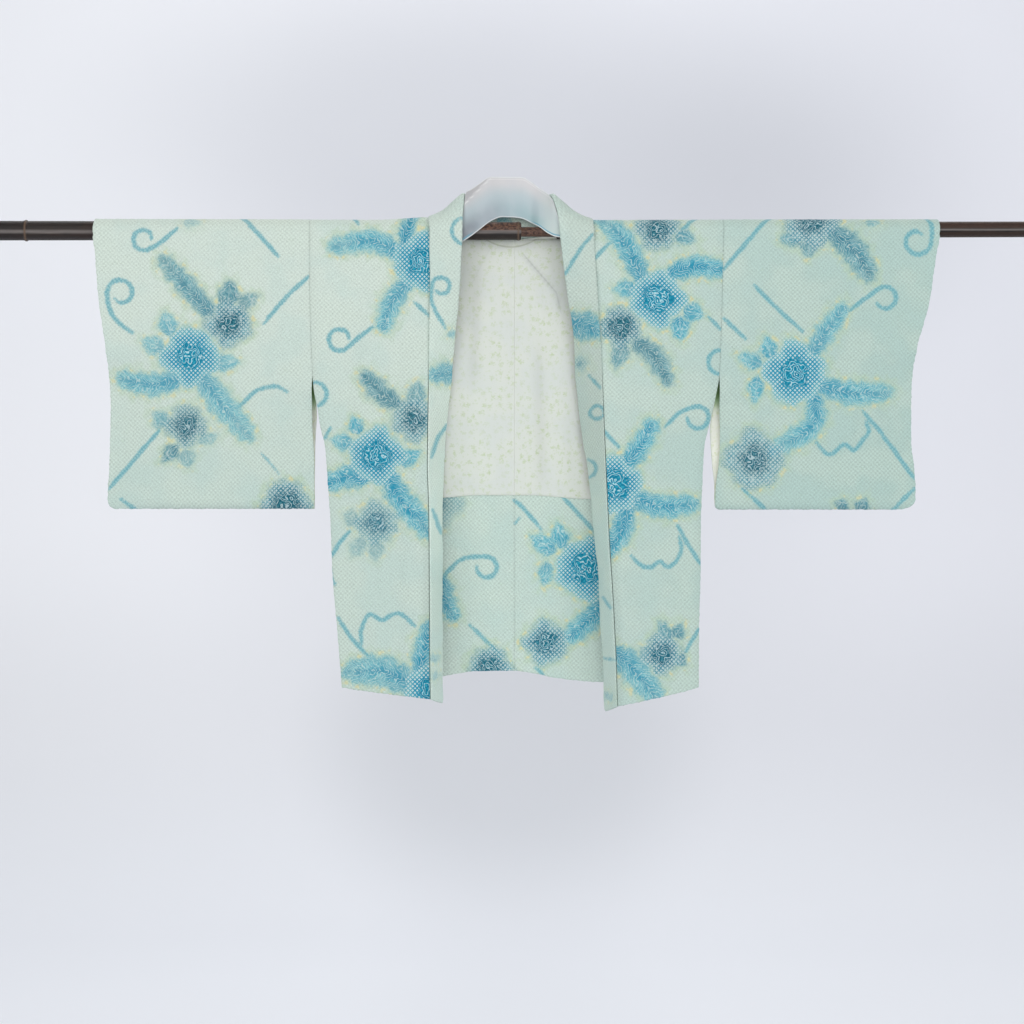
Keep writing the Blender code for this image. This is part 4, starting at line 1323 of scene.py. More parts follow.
    # flower rings: white ties in blue, packed close, or loose grey ones
    outer = g.step(g.mad(wx, 14.0, d_ring), -16.0, -2.0)
    points = g.step(g.add(g.low(ca, cb), g.mul(outer, 0.16)), -0.52, 0.02)
    lines = g.mix(outer, lin(34, 146, 174), lin(106, 175, 186))
    ring_blue = g.mix(g.mul(points, g.mad(fuzz, 0.8, 0.84)), lines, lin(202, 218, 216))
    deepness = g.step(g.mad(wx, 16.0, d_core), 16.0, -2.0)
    grey = g.mix(blotch, lin(84, 146, 161), lin(120, 171, 180))
    grey = g.mix(g.mul(deepness, 0.85), grey, lin(46, 114, 131))
    specks = g.step(g.add(g.low(ca, cb), g.mul(fuzz, 1.1)), -0.42, 0.0)
    loose_dots = g.high(g.mul(specks, 0.96), g.mul(curl, 0.6))
    ring_navy = g.mix(g.mul(loose_dots, g.mad(deepness, -0.15, 0.95)), grey, lin(196, 212, 210))
    ring = g.mix(navy, ring_blue, ring_navy)
    loose = g.mad(navy, 9.0, 11.0)
    ragged = g.add(g.mul(wy, loose), g.add(g.mul(g.sub(cell, 0.5), g.mad(navy, -5.0, -4.6)), g.mul(g.mul(fuzz, navy), 20.0)))
    soft = g.step(g.add(d_ring, ragged), 1.8, -1.8)
    fade = g.sub(1.0, g.mul(navy, g.mul(g.step(d_ring, -12.0, 4.0), 0.32)))
    colour = g.mix(g.mul(g.mul(soft, fade), tone), colour, ring)

    # hearts: a dark tied outline round a mottled, curling middle
    dark = g.mix(navy, lin(0, 122, 152), lin(22, 92, 109))
    heart = g.mix(g.mul(g.step(wander, 0.40, 0.70), 0.7), dark, g.mix(navy, lin(46, 166, 191), lin(72, 138, 151)))
    glint = g.mix(navy, lin(196, 228, 232), lin(190, 212, 216))
    heart = g.mix(g.mul(curl, 0.80), heart, glint)
    bound = g.add(g.add(d_core, 1.0), g.add(g.mul(wz, 16.0), g.add(g.mul(fuzz, 5.0), g.mul(g.sub(cell, 0.5), -3.0))))
    heart = g.mix(g.mul(g.step(g.math("ABSOLUTE", g.add(bound, 1.8)), 2.2, 0.6), 0.6), heart, dark)
    soft = g.mix(navy, g.step(bound, 1.4, -1.4), g.step(g.add(bound, g.mul(wander, 4.0)), 5.0, -4.0))
    colour = g.mix(g.mul(soft, tone), colour, heart)

    # seams and edges a little darker; then the painted light and shade given per point
    seam = g.step(g.add(edge, g.mul(wx, 1.4)), 3.0, 0.2)
    colour = g.times(colour, g.sub(1.0, g.mul(seam, 0.05)))
    colour = g.times(colour, g.sub(1.0, shade))
    height = g.add(g.mul(cell, 1.1), g.mul(fuzz, 1.6))
    height = g.sub(height, g.mul(seam, 0.5))
    normal = g.bump(height, 0.0006, 0.9)
    rough = g.mad(cell, -0.10, 0.90)
    return g.finish(
        colour, rough, normal, Sheen_Weight=0.15, Sheen_Roughness=0.5, Specular_IOR_Level=0.25
    )


def lining(name, ground, dots, amount, creased=False, tinted=True):
    g = Graph(name)
    cut = g.attr("cut")
    edge, cast, shade = g.split(g.attr("edge_and_shading"))
    slow = g.noise(cut, 0.016, 2.0).outputs["Fac"]

    def sprigs(scale, lo, hi, wobble):
        n = g.tree.nodes.new("ShaderNodeTexVoronoi")
        n.voronoi_dimensions = "2D"
        g.put(n.inputs["Vector"], cut)
        n.inputs["Scale"].default_value = scale
        n.inputs["Randomness"].default_value = 0.85
        return g.step(g.add(n.outputs["Distance"], g.mul(wobble, 0.8)), lo, hi)

    wob = g.sub(g.noise(cut, 0.33, 2.0, 0.6).outputs["Fac"], 0.5)
    motif = g.add(sprigs(0.066, 0.30, 0.08, wob), g.mul(sprigs(0.115, 0.24, 0.06, wob), 0.6))
    patch = g.step(slow, 0.34, 0.60)
    fine = g.sub(g.noise(cut, 0.9, 1.0).outputs["Fac"], 0.5)
    twill = g.math("COSINE", g.mul(g.add(*g.split(cut)[:2]), 4.0))
    colour = g.mix(g.mul(patch, 0.5), ground, g.mix(0.5, ground, lin(220, 223, 208)))
    colour = g.mix(g.mul(g.mul(motif, g.mad(patch, 0.5, 0.5)), amount), colour, dots)
    seam = g.step(edge, 2.4, 0.3)
    colour = g.mix(g.mul(seam, 0.25), colour, lin(222, 226, 216))
    if creased:
        x, y, _ = g.split(cut)
        # the shallow curved fold that hangs just under the pole: painted light above it and a painted shade line
        # along it
        from_middle = g.add(x, 8.0)
        off = g.add(g.add(y, 24.0), g.mul(g.mul(from_middle, from_middle), -0.0078))
        wide = g.step(g.math("ABSOLUTE", from_middle), 48.0, 34.0)
        colour = g.mix(g.mul(g.mul(g.step(off, -0.5, 1.5), g.step(off, 12.0, 3.0)), g.mul(wide, 0.5)), colour, lin(226, 231, 220))
        line = g.mul(g.step(g.math("ABSOLUTE", off), 1.9, 0.3), wide)
        colour = g.mix(g.mul(line, 0.55), colour, lin(168, 174, 148))
        # and the diagonal pull to the right of it, drawn as painted shade lines with a little painted shade beside
        # them
        for x0, y0, x1, y1, dark in ((12.0, -36.0, 62.0, -94.0, 0.32), (62.0, -94.0, 69.0, -124.0, 0.22), (-40.0, -26.0, -74.0, -92.0, 0.08)):
            dx, dy = x1 - x0, y1 - y0
            length = math.hypot(dx, dy)
            off = g.add(g.mul(x, dy / length), g.mad(y, -dx / length, (y0 * dx - x0 * dy) / length))
            run = g.add(g.mul(x, dx / length), g.mad(y, dy / length, -(x0 * dx + y0 * dy) / length))
            on = g.mul(g.step(run, -6.0, 4.0), g.step(run, length + 6.0, length - 6.0))
            soft = g.mul(g.step(g.math("ABSOLUTE", g.add(off, g.mul(wob, 1.5))), 1.7, 0.3), on)
            colour = g.mix(g.mul(soft, dark), colour, lin(150, 158, 152))
            beside = g.mul(g.mul(g.step(off, 8.0, 1.5), g.step(off, 0.0, 1.5)), on)
            colour = g.mix(g.mul(beside, dark * 0.35), colour, lin(180, 188, 184))
    if tinted:
        colour = g.mix(g.mul(cast, 0.9), colour, lin(150, 204, 122))
    colour = g.times(colour, g.mad(fine, 0.08, 1.0))
    # painted light and shade given per point, such as in the troughs of the lining's folds
    colour = g.times(colour, g.sub(1.0, shade))
    height = g.add(g.mul(fine, 0.5), g.add(g.mul(twill, 0.15), g.mul(slow, 3.0)))
    normal = g.bump(g.sub(height, seam), 0.0003, 0.6)
    return g.finish(
        colour, g.mad(fine, 0.1, 0.62), normal, Sheen_Weight=0.1, Sheen_Roughness=0.35, Specular_IOR_Level=0.35
    )


def stay_material():
    g = Graph("stay_cloth")
    cut = g.attr("cut")
    edge, t, crease = g.split(g.attr("edge_and_shading"))
    fine = g.sub(g.noise(cut, 0.5, 2.0).outputs["Fac"], 0.5)
    slow = g.noise(cut, 0.03, 2.0).outputs["Fac"]
    x, y, _ = g.split(cut)
    # painted show-through and shade: the collar's blues and mint behind the thin sheet in its lower part, paler grey
    # higher up where only the backdrop lies behind, and painted shade at the left end
    lower = g.mix(g.step(x, -86.0, -44.0), lin(126, 132, 140), lin(158, 170, 178))
    lower = g.mix(g.step(x, -45.0, -5.0), lower, lin(164, 185, 191))
    lower = g.mix(g.step(x, 0.0, 34.0), lower, lin(156, 184, 188))
    lower = g.mix(g.step(x, 40.0, 58.0), lower, lin(188, 206, 203))
    colour = g.mix(g.step(t, 0.12, 0.58), lower, lin(182, 196, 201))
    colour = g.mix(g.step(t, 0.50, 0.88), colour, lin(205, 205, 207))
    colour = g.mix(g.mul(g.step(x, 26.0, 52.0), 0.55), colour, lin(190, 202, 199))
    colour = g.times(colour, g.sub(1.0, g.mul(g.step(x, -44.0, -74.0), 0.10)))
    ends = g.add(g.step(x, 18.0, 36.0), g.step(x, -62.0, -74.0))
    under = g.mul(g.step(t, 0.022, 0.034), g.step(t, 0.078, 0.052))
    colour = g.mix(g.mul(g.mul(under, ends), 0.85), colour, lin(84, 152, 174))
    colour = g.mix(g.mul(g.step(slow, 0.4, 0.7), 0.2), colour, lin(194, 199, 205))
    # painted shade on one side of the shoulder crease and a painted highlight along it
    colour = g.times(colour, g.sub(1.0, g.mul(g.step(crease, -0.05, -0.9), 0.19)))
    colour = g.mix(g.mul(g.step(crease, 0.2, 0.9), 0.75), colour, lin(222, 224, 223))
    rim = g.step(edge, 2.4, 1.2)
    colour = g.mix(g.mul(rim, 0.7), colour, lin(222, 226, 228))
    # a turned edge along the top, sewn down a little below it
    turned = g.mul(g.step(g.math("ABSOLUTE", g.add(t, -0.935)), 0.014, 0.006), g.step(x, -52.0, -40.0))
    colour = g.mix(g.mul(turned, 0.5), colour, lin(226, 226, 226))
    colour = g.times(colour, g.mad(fine, 0.03, 1.0))
    normal = g.bump(g.add(g.mul(fine, 0.6), rim), 0.0003, 0.5)
    return g.finish(colour, g.mad(fine, 0.1, 0.46), normal, Sheen_Weight=0.1, Specular_IOR_Level=0.35)


def bamboo():
    g = Graph("smoked_bamboo")
    x, turn, ring = g.split(g.attr("cut"))
    up, _, _ = g.split(g.attr("turn"))
    along_v = g.join(g.mul(x, 0.006), g.mul(turn, 0.9), 0.0)
    streak = g.noise(along_v, 3.2, 5.0, 0.65).outputs["Fac"]
    fine = g.noise(g.join(g.mul(x, 0.02), g.mul(turn, 3.5), 0.0), 4.0, 3.0, 0.6).outputs["Fac"]
    blot = g.noise(g.join(g.mul(x, 0.011), g.mul(turn, 0.05), 0.0), 2.0, 3.0).outputs["Fac"]
    colour = g.mix(g.step(streak, 0.36, 0.66), lin(20, 17, 17), lin(44, 34, 30))
    colour = g.mix(g.mul(g.step(fine, 0.55, 0.75), 0.35), colour, lin(84, 68, 60))
    colour = g.mix(g.mul(g.step(blot, 0.5, 0.7), 0.45), colour, lin(48, 30, 25))
    # the thinner culm is browner on top
    brown = g.mul(g.step(x, 62.0, 64.0), g.step(up, -0.05, 0.15))
    colour = g.mix(g.mul(brown, g.step(fine, 0.34, 0.62)), colour, lin(70, 48, 38))
    under = g.mul(g.step(x, 62.0, 64.0), g.step(up, -0.35, -0.50))
    colour = g.mix(g.mul(under, 0.8), colour, lin(44, 28, 18))
    colour = g.times(colour, g.mad(g.step(x, -744.0, -754.0), -0.35, 1.0))
    # painted highlight: a pale band down the front where the lamps are reflected, uneven in width
    from_highlight = g.add(up, g.mad(g.step(x, 62.0, 64.0), -0.06, g.mad(blot, 0.10, 0.15)))
    narrow = g.mad(g.step(x, 62.0, 64.0), 0.67, 1.0)
    band = g.mul(g.step(g.mul(g.math("ABSOLUTE", from_highlight), narrow), 0.30, 0.04), g.mad(streak, 0.7, 0.25))
    colour = g.mix(g.mul(band, 0.85), colour, lin(136, 130, 127))
    # rubbed to bare wood on top where the collar sits, and at the pared end
    rough_wood = g.noise(g.join(g.mul(x, 0.14), g.mul(turn, 0.5), 0.0), 1.2, 3.0, 0.65).outputs["Fac"]
    here = g.step(g.math("ABSOLUTE", g.add(x, 30.0)), 60.0, 30.0)
    worn = g.mul(here, g.step(g.add(up, g.mul(rough_wood, 0.1)), 0.0, 0.1))
    pared = g.mul(g.step(x, 7.0, 9.0), g.step(x, 63.0, 61.0))
    wood = g.mix(g.step(rough_wood, 0.34, 0.66), lin(48, 33, 29), lin(106, 78, 64))
    colour = g.mix(g.high(worn, pared), colour, wood)
    line = g.mul(g.step(g.math("ABSOLUTE", g.add(up, 0.02)), 0.06, 0.02), here)
    colour = g.mix(g.mul(line, 0.6), colour, lin(128, 112, 104))
    colour = g.mix(g.mul(ring, 0.8), colour, lin(98, 78, 62))
    height = g.add(g.mul(fine, 0.6), g.mul(streak, 0.8))
    normal = g.bump(height, 0.0004, 0.5)
    return g.finish(colour, g.mad(fine, 0.2, 0.36), normal, Specular_IOR_Level=0.30)


CREPE = crepe()
LINING = lining("silk_lining", lin(209, 215, 210), lin(190, 203, 170), 0.62, True)
INSIDE = lining("sleeve_silk", lin(248, 249, 238), lin(222, 230, 192), 0.6)
# the same silks where they back a crepe wall
BEHIND = lining("body_silk", lin(232, 235, 228), lin(206, 218, 186), 0.6, tinted=False)
WITHIN = lining("cuff_silk", lin(242, 246, 236), lin(218, 229, 198), 0.6, tinted=False)
STAY_MAT = stay_material()
BAMBOO = bamboo()


# --------------------------------------------------------------------- the pieces
# Per point: distance to the nearest edge, a second value that each material reads in its own way, and painted light
# and shade (on the stay, its crease's painted highlight and shade).
def edge_and_shading(edge, cast, shade):
    edge, cast, shade = np.broadcast_arrays(edge, cast, shade)
    return np.stack([edge, cast, shade], -1)


def cast_of(x, z):
    """The cloth is darker and a little greener to the viewer's right and further down."""
    across = 0.80 * ease((x + 150) / 700)
    down = 0.36 * ease(-(z + 80) / 340)
    return 1 - (1 - across) * (1 - down)


def plan_uv(x, v):
    return np.stack(np.broadcast_arrays(x, v, np.zeros_like(x)), -1)


def distance_to_edges(g, wrap=False):
    return np.minimum(edge_distance(g, 1), edge_distance(g, 0, wrap))


def build_body(side, s):
    cols = with_rims(92, 250, 0.15)
    lv_front = np.concatenate(([-696.0, -695.6], np.linspace(-693, -3, 231), [0.0]))
    arc = np.linspace(1, 0, 10)[:-1]
    grid, v = [], []
    # front, from the hem up
    lv = lv_front[:-1][:, None]
    p = body_points(side, -1, lv, cols[None, :])
    grid.append(p)
    v.append(p[..., 2])
    lv = arc[:, None]
    p = body_points(side, -1, lv, cols[None, :])
    grid.append(p)
    v.append(np.broadcast_to(TOP_V * (1 - lv), p.shape[:2]))
    back_arc = np.linspace(0, 1, 10)
    lv = back_arc[:, None]
    p = body_points(side, 1, lv, cols[None, :])
    grid.append(p)
    v.append(np.broadcast_to(TOP_V * (1 + lv), p.shape[:2]))
    lv = np.concatenate((np.arange(-1, -13, -1.0), np.arange(-15, -30, -2.5), np.linspace(-33, -693, 150), [-695.6, -696.0]))[
        :, None
    ]
    p = body_points(side, 1, lv, cols[None, :])
    grid.append(p)
    v.append(2 * TOP_V - p[..., 2])
    g, v = np.concatenate(grid), np.concatenate(v)
    if g.shape[0] % 2 == 0:
        g, v = np.delete(g, 60, axis=0), np.delete(v, 60, axis=0)
    x = g[..., 0]
    fields = strip_dye(x, v, False)
    edge = distance_to_edges(g)
    # painted shade: the cloth is a little darker beside the collar, lower down, where the collar's roll shades it,
    # and along the side, where it turns away from the light
    front = v < 0
    beside = edge_distance(g, 1)
    inner_side = np.broadcast_to(cols[None, :] > 0.5, x.shape)
    shade = np.where(front & inner_side, 0.10 * ease((15 - beside) / 12) * ease((-330 - v) / 260), 0.0)
    shade = shade + np.where(front & ~inner_side, 0.035 * ease((14 - beside) / 14), 0.0)
    fields["cut"] = plan_uv(x, v)
    fields["edge_and_shading"] = edge_and_shading(edge, cast_of(x, g[..., 2]), shade)
    obj, _ = make_shell(
        f"jacket_body_{s}", g, CLOTH, lambda q, n: -n[20, 40, 1], (CREPE, BEHIND), fields, rim=0.16
    )
    return obj


def build_sleeve(side, s):
    cols = with_rims(108, 318, 0.15)
    bottom = SLEEVE_BOTTOM[side]
    grid, v = [], []
    ups = np.array([0.0, 0.7, 2.0, 4.0, 7.0, 10.0, 14.0, 18.0, 22.0])
    front_lv = np.concatenate((bottom + ups, np.linspace(bottom + 25, -3, 132)))
    front_up = np.concatenate((ups, np.full(132, 99.0)))
    p = sleeve_points(side, -1, front_lv[:, None], cols[None, :], front_up[:, None])
    grid.append(p)
    v.append(p[..., 2])
    lv = np.linspace(1, 0, 10)[:-1][:, None]
    p = sleeve_points(side, -1, lv, cols[None, :])
    grid.append(p)
    v.append(np.broadcast_to(TOP_V * (1 - lv), p.shape[:2]))
    lv = np.linspace(0, 1, 10)[:, None]
    p = sleeve_points(side, 1, lv, cols[None, :])
    grid.append(p)
    v.append(np.broadcast_to(TOP_V * (1 + lv), p.shape[:2]))
    back_lv = np.concatenate((np.linspace(-3, bottom + 25, 100), bottom + ups[1:][::-1]))
    back_up = np.concatenate((np.full(100, 99.0), ups[1:][::-1]))
    p = sleeve_points(side, 1, back_lv[:, None], cols[None, :], back_up[:, None])
    grid.append(p)
    v.append(2 * TOP_V - p[..., 2])
    g, v = np.concatenate(grid), np.concatenate(v)
    if g.shape[0] % 2:
        g, v = np.delete(g, 60, axis=0), np.delete(v, 60, axis=0)
    x = g[..., 0]
    fields = strip_dye(x, v, True)
    edge = edge_distance(g, 1)
    fields["cut"] = plan_uv(x, v)
    # painted shade: a little darker along the bottom fold, where the cloth turns under
    low = 0.05 * ease((g[..., 2] - bottom - 14) / -14)
    fields["edge_and_shading"] = edge_and_shading(edge, cast_of(x, g[..., 2]), low)
    obj, _ = make_shell(
        f"jacket_sleeve_{s}", g, CLOTH, lambda q, n: -n[40, 40, 1], (CREPE, WITHIN), fields, wrap=True, rim=0.16
    )
    return obj


def build_gusset(side, s):
    sign = -1 if side == "left" else 1
    t = with_rims(14, 45)[None, :] * 2 - 1
    lv = np.concatenate(([GUSSET_TOP, GUSSET_TOP - 0.8], np.linspace(-250, -691, 117), [-693.2, -694.0]))[:, None]
    x = look(SIDE, side, lv)
    reach = drape(x, lv, 1, look(SIDE_SWELL, "swell", lv))
    y, z = reach[..., 1] - CLOTH / 2 - SEAM, reach[..., 2]
    dent = 3.0 * ease((GUSSET_TOP - lv) / 150)
    gx = x - sign * (CLOTH / 2 + dent * (1 - t * t) + 0.25 * np.sin(0.11 * lv + 2 * t))
    g = np.stack(np.broadcast_arrays(gx, y * t, z), -1)
    none = np.full(g.shape[:2], FAR)
    zero = np.zeros(g.shape[:2])
    fields = dye(g[..., 1] * 1.0, g[..., 2], [], [], [], [(5.0, (-8, -420), (12, -452)), (5.0, (10, -560), (-14, -600))], [])
    edge = distance_to_edges(g)
    fields["cut"] = plan_uv(g[..., 1] + sign * 40, g[..., 2])
    # painted shade: the whole gore a little darker, set back at the side between front and back
    fields["edge_and_shading"] = edge_and_shading(edge, cast_of(g[..., 0], g[..., 2]), zero + 0.03)
    obj, _ = make_shell(
        f"jacket_gore_{s}", g, CLOTH, lambda q, n: sign * n[60, 7, 0], (CREPE, BEHIND), fields
    )
    return obj


def lining_grid(side, lv, cols, top_edge=None, foot=None):
    """The back panel's own surface, moved towards the front."""
    p = body_points(side, 1, lv, cols)
    n = grid_normals(p)
    n *= np.where(n[..., 1:2] > 0, -1.0, 1.0)
    return p + n * (CLOTH / 2 + SEAM + THIN / 2)


def build_back_lining(side, s):
    cols = np.concatenate(([0.012], 0.012 + 0.988 * with_rims(62, 300, 0.12)[1:]))[None, :]
    t = np.concatenate(([0, 0.002], np.linspace(0.012, 0.99, 79), [0.998, 1.0]))[:, None]
    x0 = body_points(side, 1, np.full((1, 1), -409.0), cols)[..., 0]
    foot = look(LINING_FOOT, "z", x0) + SEAM / 2
    lv = LINING_TOP + (foot - LINING_TOP) * t
    g = lining_grid(side, lv, cols)
    x, z = g[..., 0], g[..., 2]
    # its own slack: a diagonal pull under the neck, a tuck by the collar, soft drops
    own = 0.0 * x
    for x0, z0, x1, z1, w, h in (
        (12, -36, 60, -92, 2.6, -0.9),
        (62, -92, 68, -120, 2.6, -0.7),
        (96, -290, 112, -405, 5.0, -1.0),
        (-60, -40, -66, -240, 9.0, -0.6),
        (-30, -180, -26, -390, 8.0, 0.15),
        (34, -170, 40, -396, 9.0, -0.5),
    ):
        dx, dz = x1 - x0, z1 - z0
        length = math.hypot(dx, dz)
        q = ((x - x0) * dx + (z - z0) * dz) / length**2
        off = ((x - x0) * dz - (z - z0) * dx) / length
        own = own + h * np.exp(-((off / w) ** 2)) * ease((q + 0.1) / 0.3) * ease((1.1 - q) / 0.3)
    # the shallow curved fold that hangs just under the pole
    sag = z + 12 + 11 * np.exp(-(((x + 8) / 30) ** 2))
    own = own - 0.8 * np.exp(-((sag / 2.0) ** 2)) * np.exp(-(((x + 8) / 44) ** 4))
    calm = ease(distance_to_edges(g) / 8)
    g[..., 1] += np.minimum(own, 0.15) * calm
    # painted shade along the troughs of these folds
    fields = dict(cut=plan_uv(x, z), edge_and_shading=edge_and_shading(distance_to_edges(g), 0.0 * x, np.clip(-own, 0, 1) * 0.17 * calm))
    obj, _ = make_shell(f"jacket_back_lining_{s}", g, THIN, lambda q, n: -n[30, 20, 1], (LINING, LINING), fields, rim=0.13)
    return obj


def build_facing(side, s):
    cols = np.concatenate(([0.012], 0.012 + 0.988 * with_rims(94, 290, 0.12)[1:]))[None, :]
    t = np.concatenate(([0, 0.003], np.linspace(0.012, 0.99, 91), [0.997, 1.0]))[:, None]
    x0 = body_points(side, 1, np.full((1, 1), -409.0), cols)[..., 0]
    foot = look(LINING_FOOT, "z", x0) - SEAM / 2
    # levels under -600 are stretched to the hem by body_points itself
    lv = foot + (-696.0 - foot) * t
    g = lining_grid(side, lv, cols)
    x, z = g[..., 0], g[..., 2]
    fields = dye(x, z, FACING_FLOWERS, FACING_LEAVES, FACING_ARMS, FACING_STROKES, FACING_SPIRALS)
    edge = distance_to_edges(g)
    fields["cut"] = plan_uv(x, z)
    # darker and greener to the viewer's right; painted shadow of the left collar on the left part, and a little
    # painted light elsewhere
    fields["edge_and_shading"] = edge_and_shading(edge, 0.34 + 0.22 * ease((x + 260) / 520), -0.04 + 0.07 * ease((-60 - x) / 90))
    obj, _ = make_shell(f"jacket_hem_facing_{s}", g, THIN, lambda q, n: -n[30, 20, 1], (CREPE, BEHIND), fields, rim=0.13)
    return obj


def build_sleeve_lining(side, s):
    cols = with_rims(56, 270)[None, :] * 0.85
    lv = np.concatenate(([LINING_TOP - 4, LINING_TOP - 4.8], np.linspace(-24, SLEEVE_BOTTOM[side] + 18, 81)))
    lv = np.concatenate((lv, [SLEEVE_BOTTOM[side] + 14.8, SLEEVE_BOTTOM[side] + 14]))[:, None]
    p = sleeve_points(side, 1, lv, cols)
    n = grid_normals(p)
    n *= np.where(n[..., 1:2] > 0, -1.0, 1.0)
    g = p + n * (CLOTH / 2 + SEAM + THIN / 2)
    green = ease((g[..., 2] + 284) / 34) + 0.6 * ease((-396 - g[..., 2]) / 16)
    fields = dict(cut=plan_uv(g[..., 0], g[..., 2]), edge_and_shading=edge_and_shading(distance_to_edges(g), green, 0.0))
    obj, _ = make_shell(f"jacket_sleeve_lining_{s}", g, THIN, lambda q, m: -m[30, 20, 1], (INSIDE, INSIDE), fields)
    return obj


def collar_path(side, tau):
    """Seam, beside-the-seam, fold and free edge at places tau along one half: from
    the hem (negative heights), over the top line at TOP_V, to the centre back."""
    rows = {r[0]: r for r in neck_rows(side)}
    front = FRONT_L if side == "left" else FRONT_R
    names = ["f1.00", "f0.72", "f0.36", "top", "b0.36", "b0.72", "b1.00", "b-6", "b-12"]
    keys = [0.0, 7.0, 16.0, 25.0, 34.0, 43.0, 50.0, 56.0, 62.0]
    seam = np.zeros((len(tau), 3))
    beside = np.zeros((len(tau), 3))
    for i, q in enumerate(tau):
        if q < 0:
            face, level = -1, q
        elif q <= 25:
            face, level = -1, 1 - q / 25
        elif q <= 50:
            face, level = 1, (q - 25) / 25
        else:
            face, level = 1, -(q - 50)
        one = body_fast(side, face, level)
        seam[i], beside[i] = one
    # the fold and the free edge: rows at the neck, formulas down the front
    hem = FRONT_HEM[side][1]
    zs = np.array([hem, -650, -600, -540, -480, -420, -360, -300, -225, -175, -120, -70, -30])
    fold_rows, edge_rows = [], []
    for z in zs:
        drop = FOLD_DROP[side] * (1.0 if z == hem else float(ease((-420 - z) / 300)))
        p0, _ = body_fast(side, -1, z)
        fold = np.array((look(front, "fold_x", z), look(front, "fold_y", z), z - drop), float)
        ux, uy = unit((fold - p0)[:2])
        across = np.array((uy, -ux)) if side == "left" else np.array((-uy, ux))
        flat = p0[:2] + across * (float(look(front, "lift", z)) - 0.9) - np.array((ux, uy)) * float(look(front, "over", z))
        fold_rows.append(fold)
        edge_rows.append((*flat, z - 0.1 * drop))
    key = np.concatenate((zs, keys))
    fold_all = np.vstack([fold_rows, [rows[n][2:5] for n in names]])
    edge_all = np.vstack([edge_rows, [rows[n][5:8] for n in names]])
    fold = np.stack([smooth(key, fold_all[:, c], tau) for c in range(3)], -1)
    edge = np.stack([smooth(key, edge_all[:, c], tau) for c in range(3)], -1)
    return seam, beside, fold, edge


def body_fast(side, face, level):
    """One body point at the inner edge and one beside it, at a true height."""
    h = float(height_of(np.float64(level)))
    outer = float(look(SIDE, side, h))
    inner = float(neck_seam(side, face, np.float64(level)))
    out = []
    for u in (1.0, 0.86):
        x = outer + (inner - outer) * u
        k = float(ease(u))
        swell = float(look(SIDE_SWELL, "swell", h)) * (1 - k)
        swell += k * float(look(FRONT_SWELL if face < 0 else BACK_SWELL, "swell", h))
        out.append(drape(np.float64(x), np.float64(level), face, swell))
    return out[0], out[1]


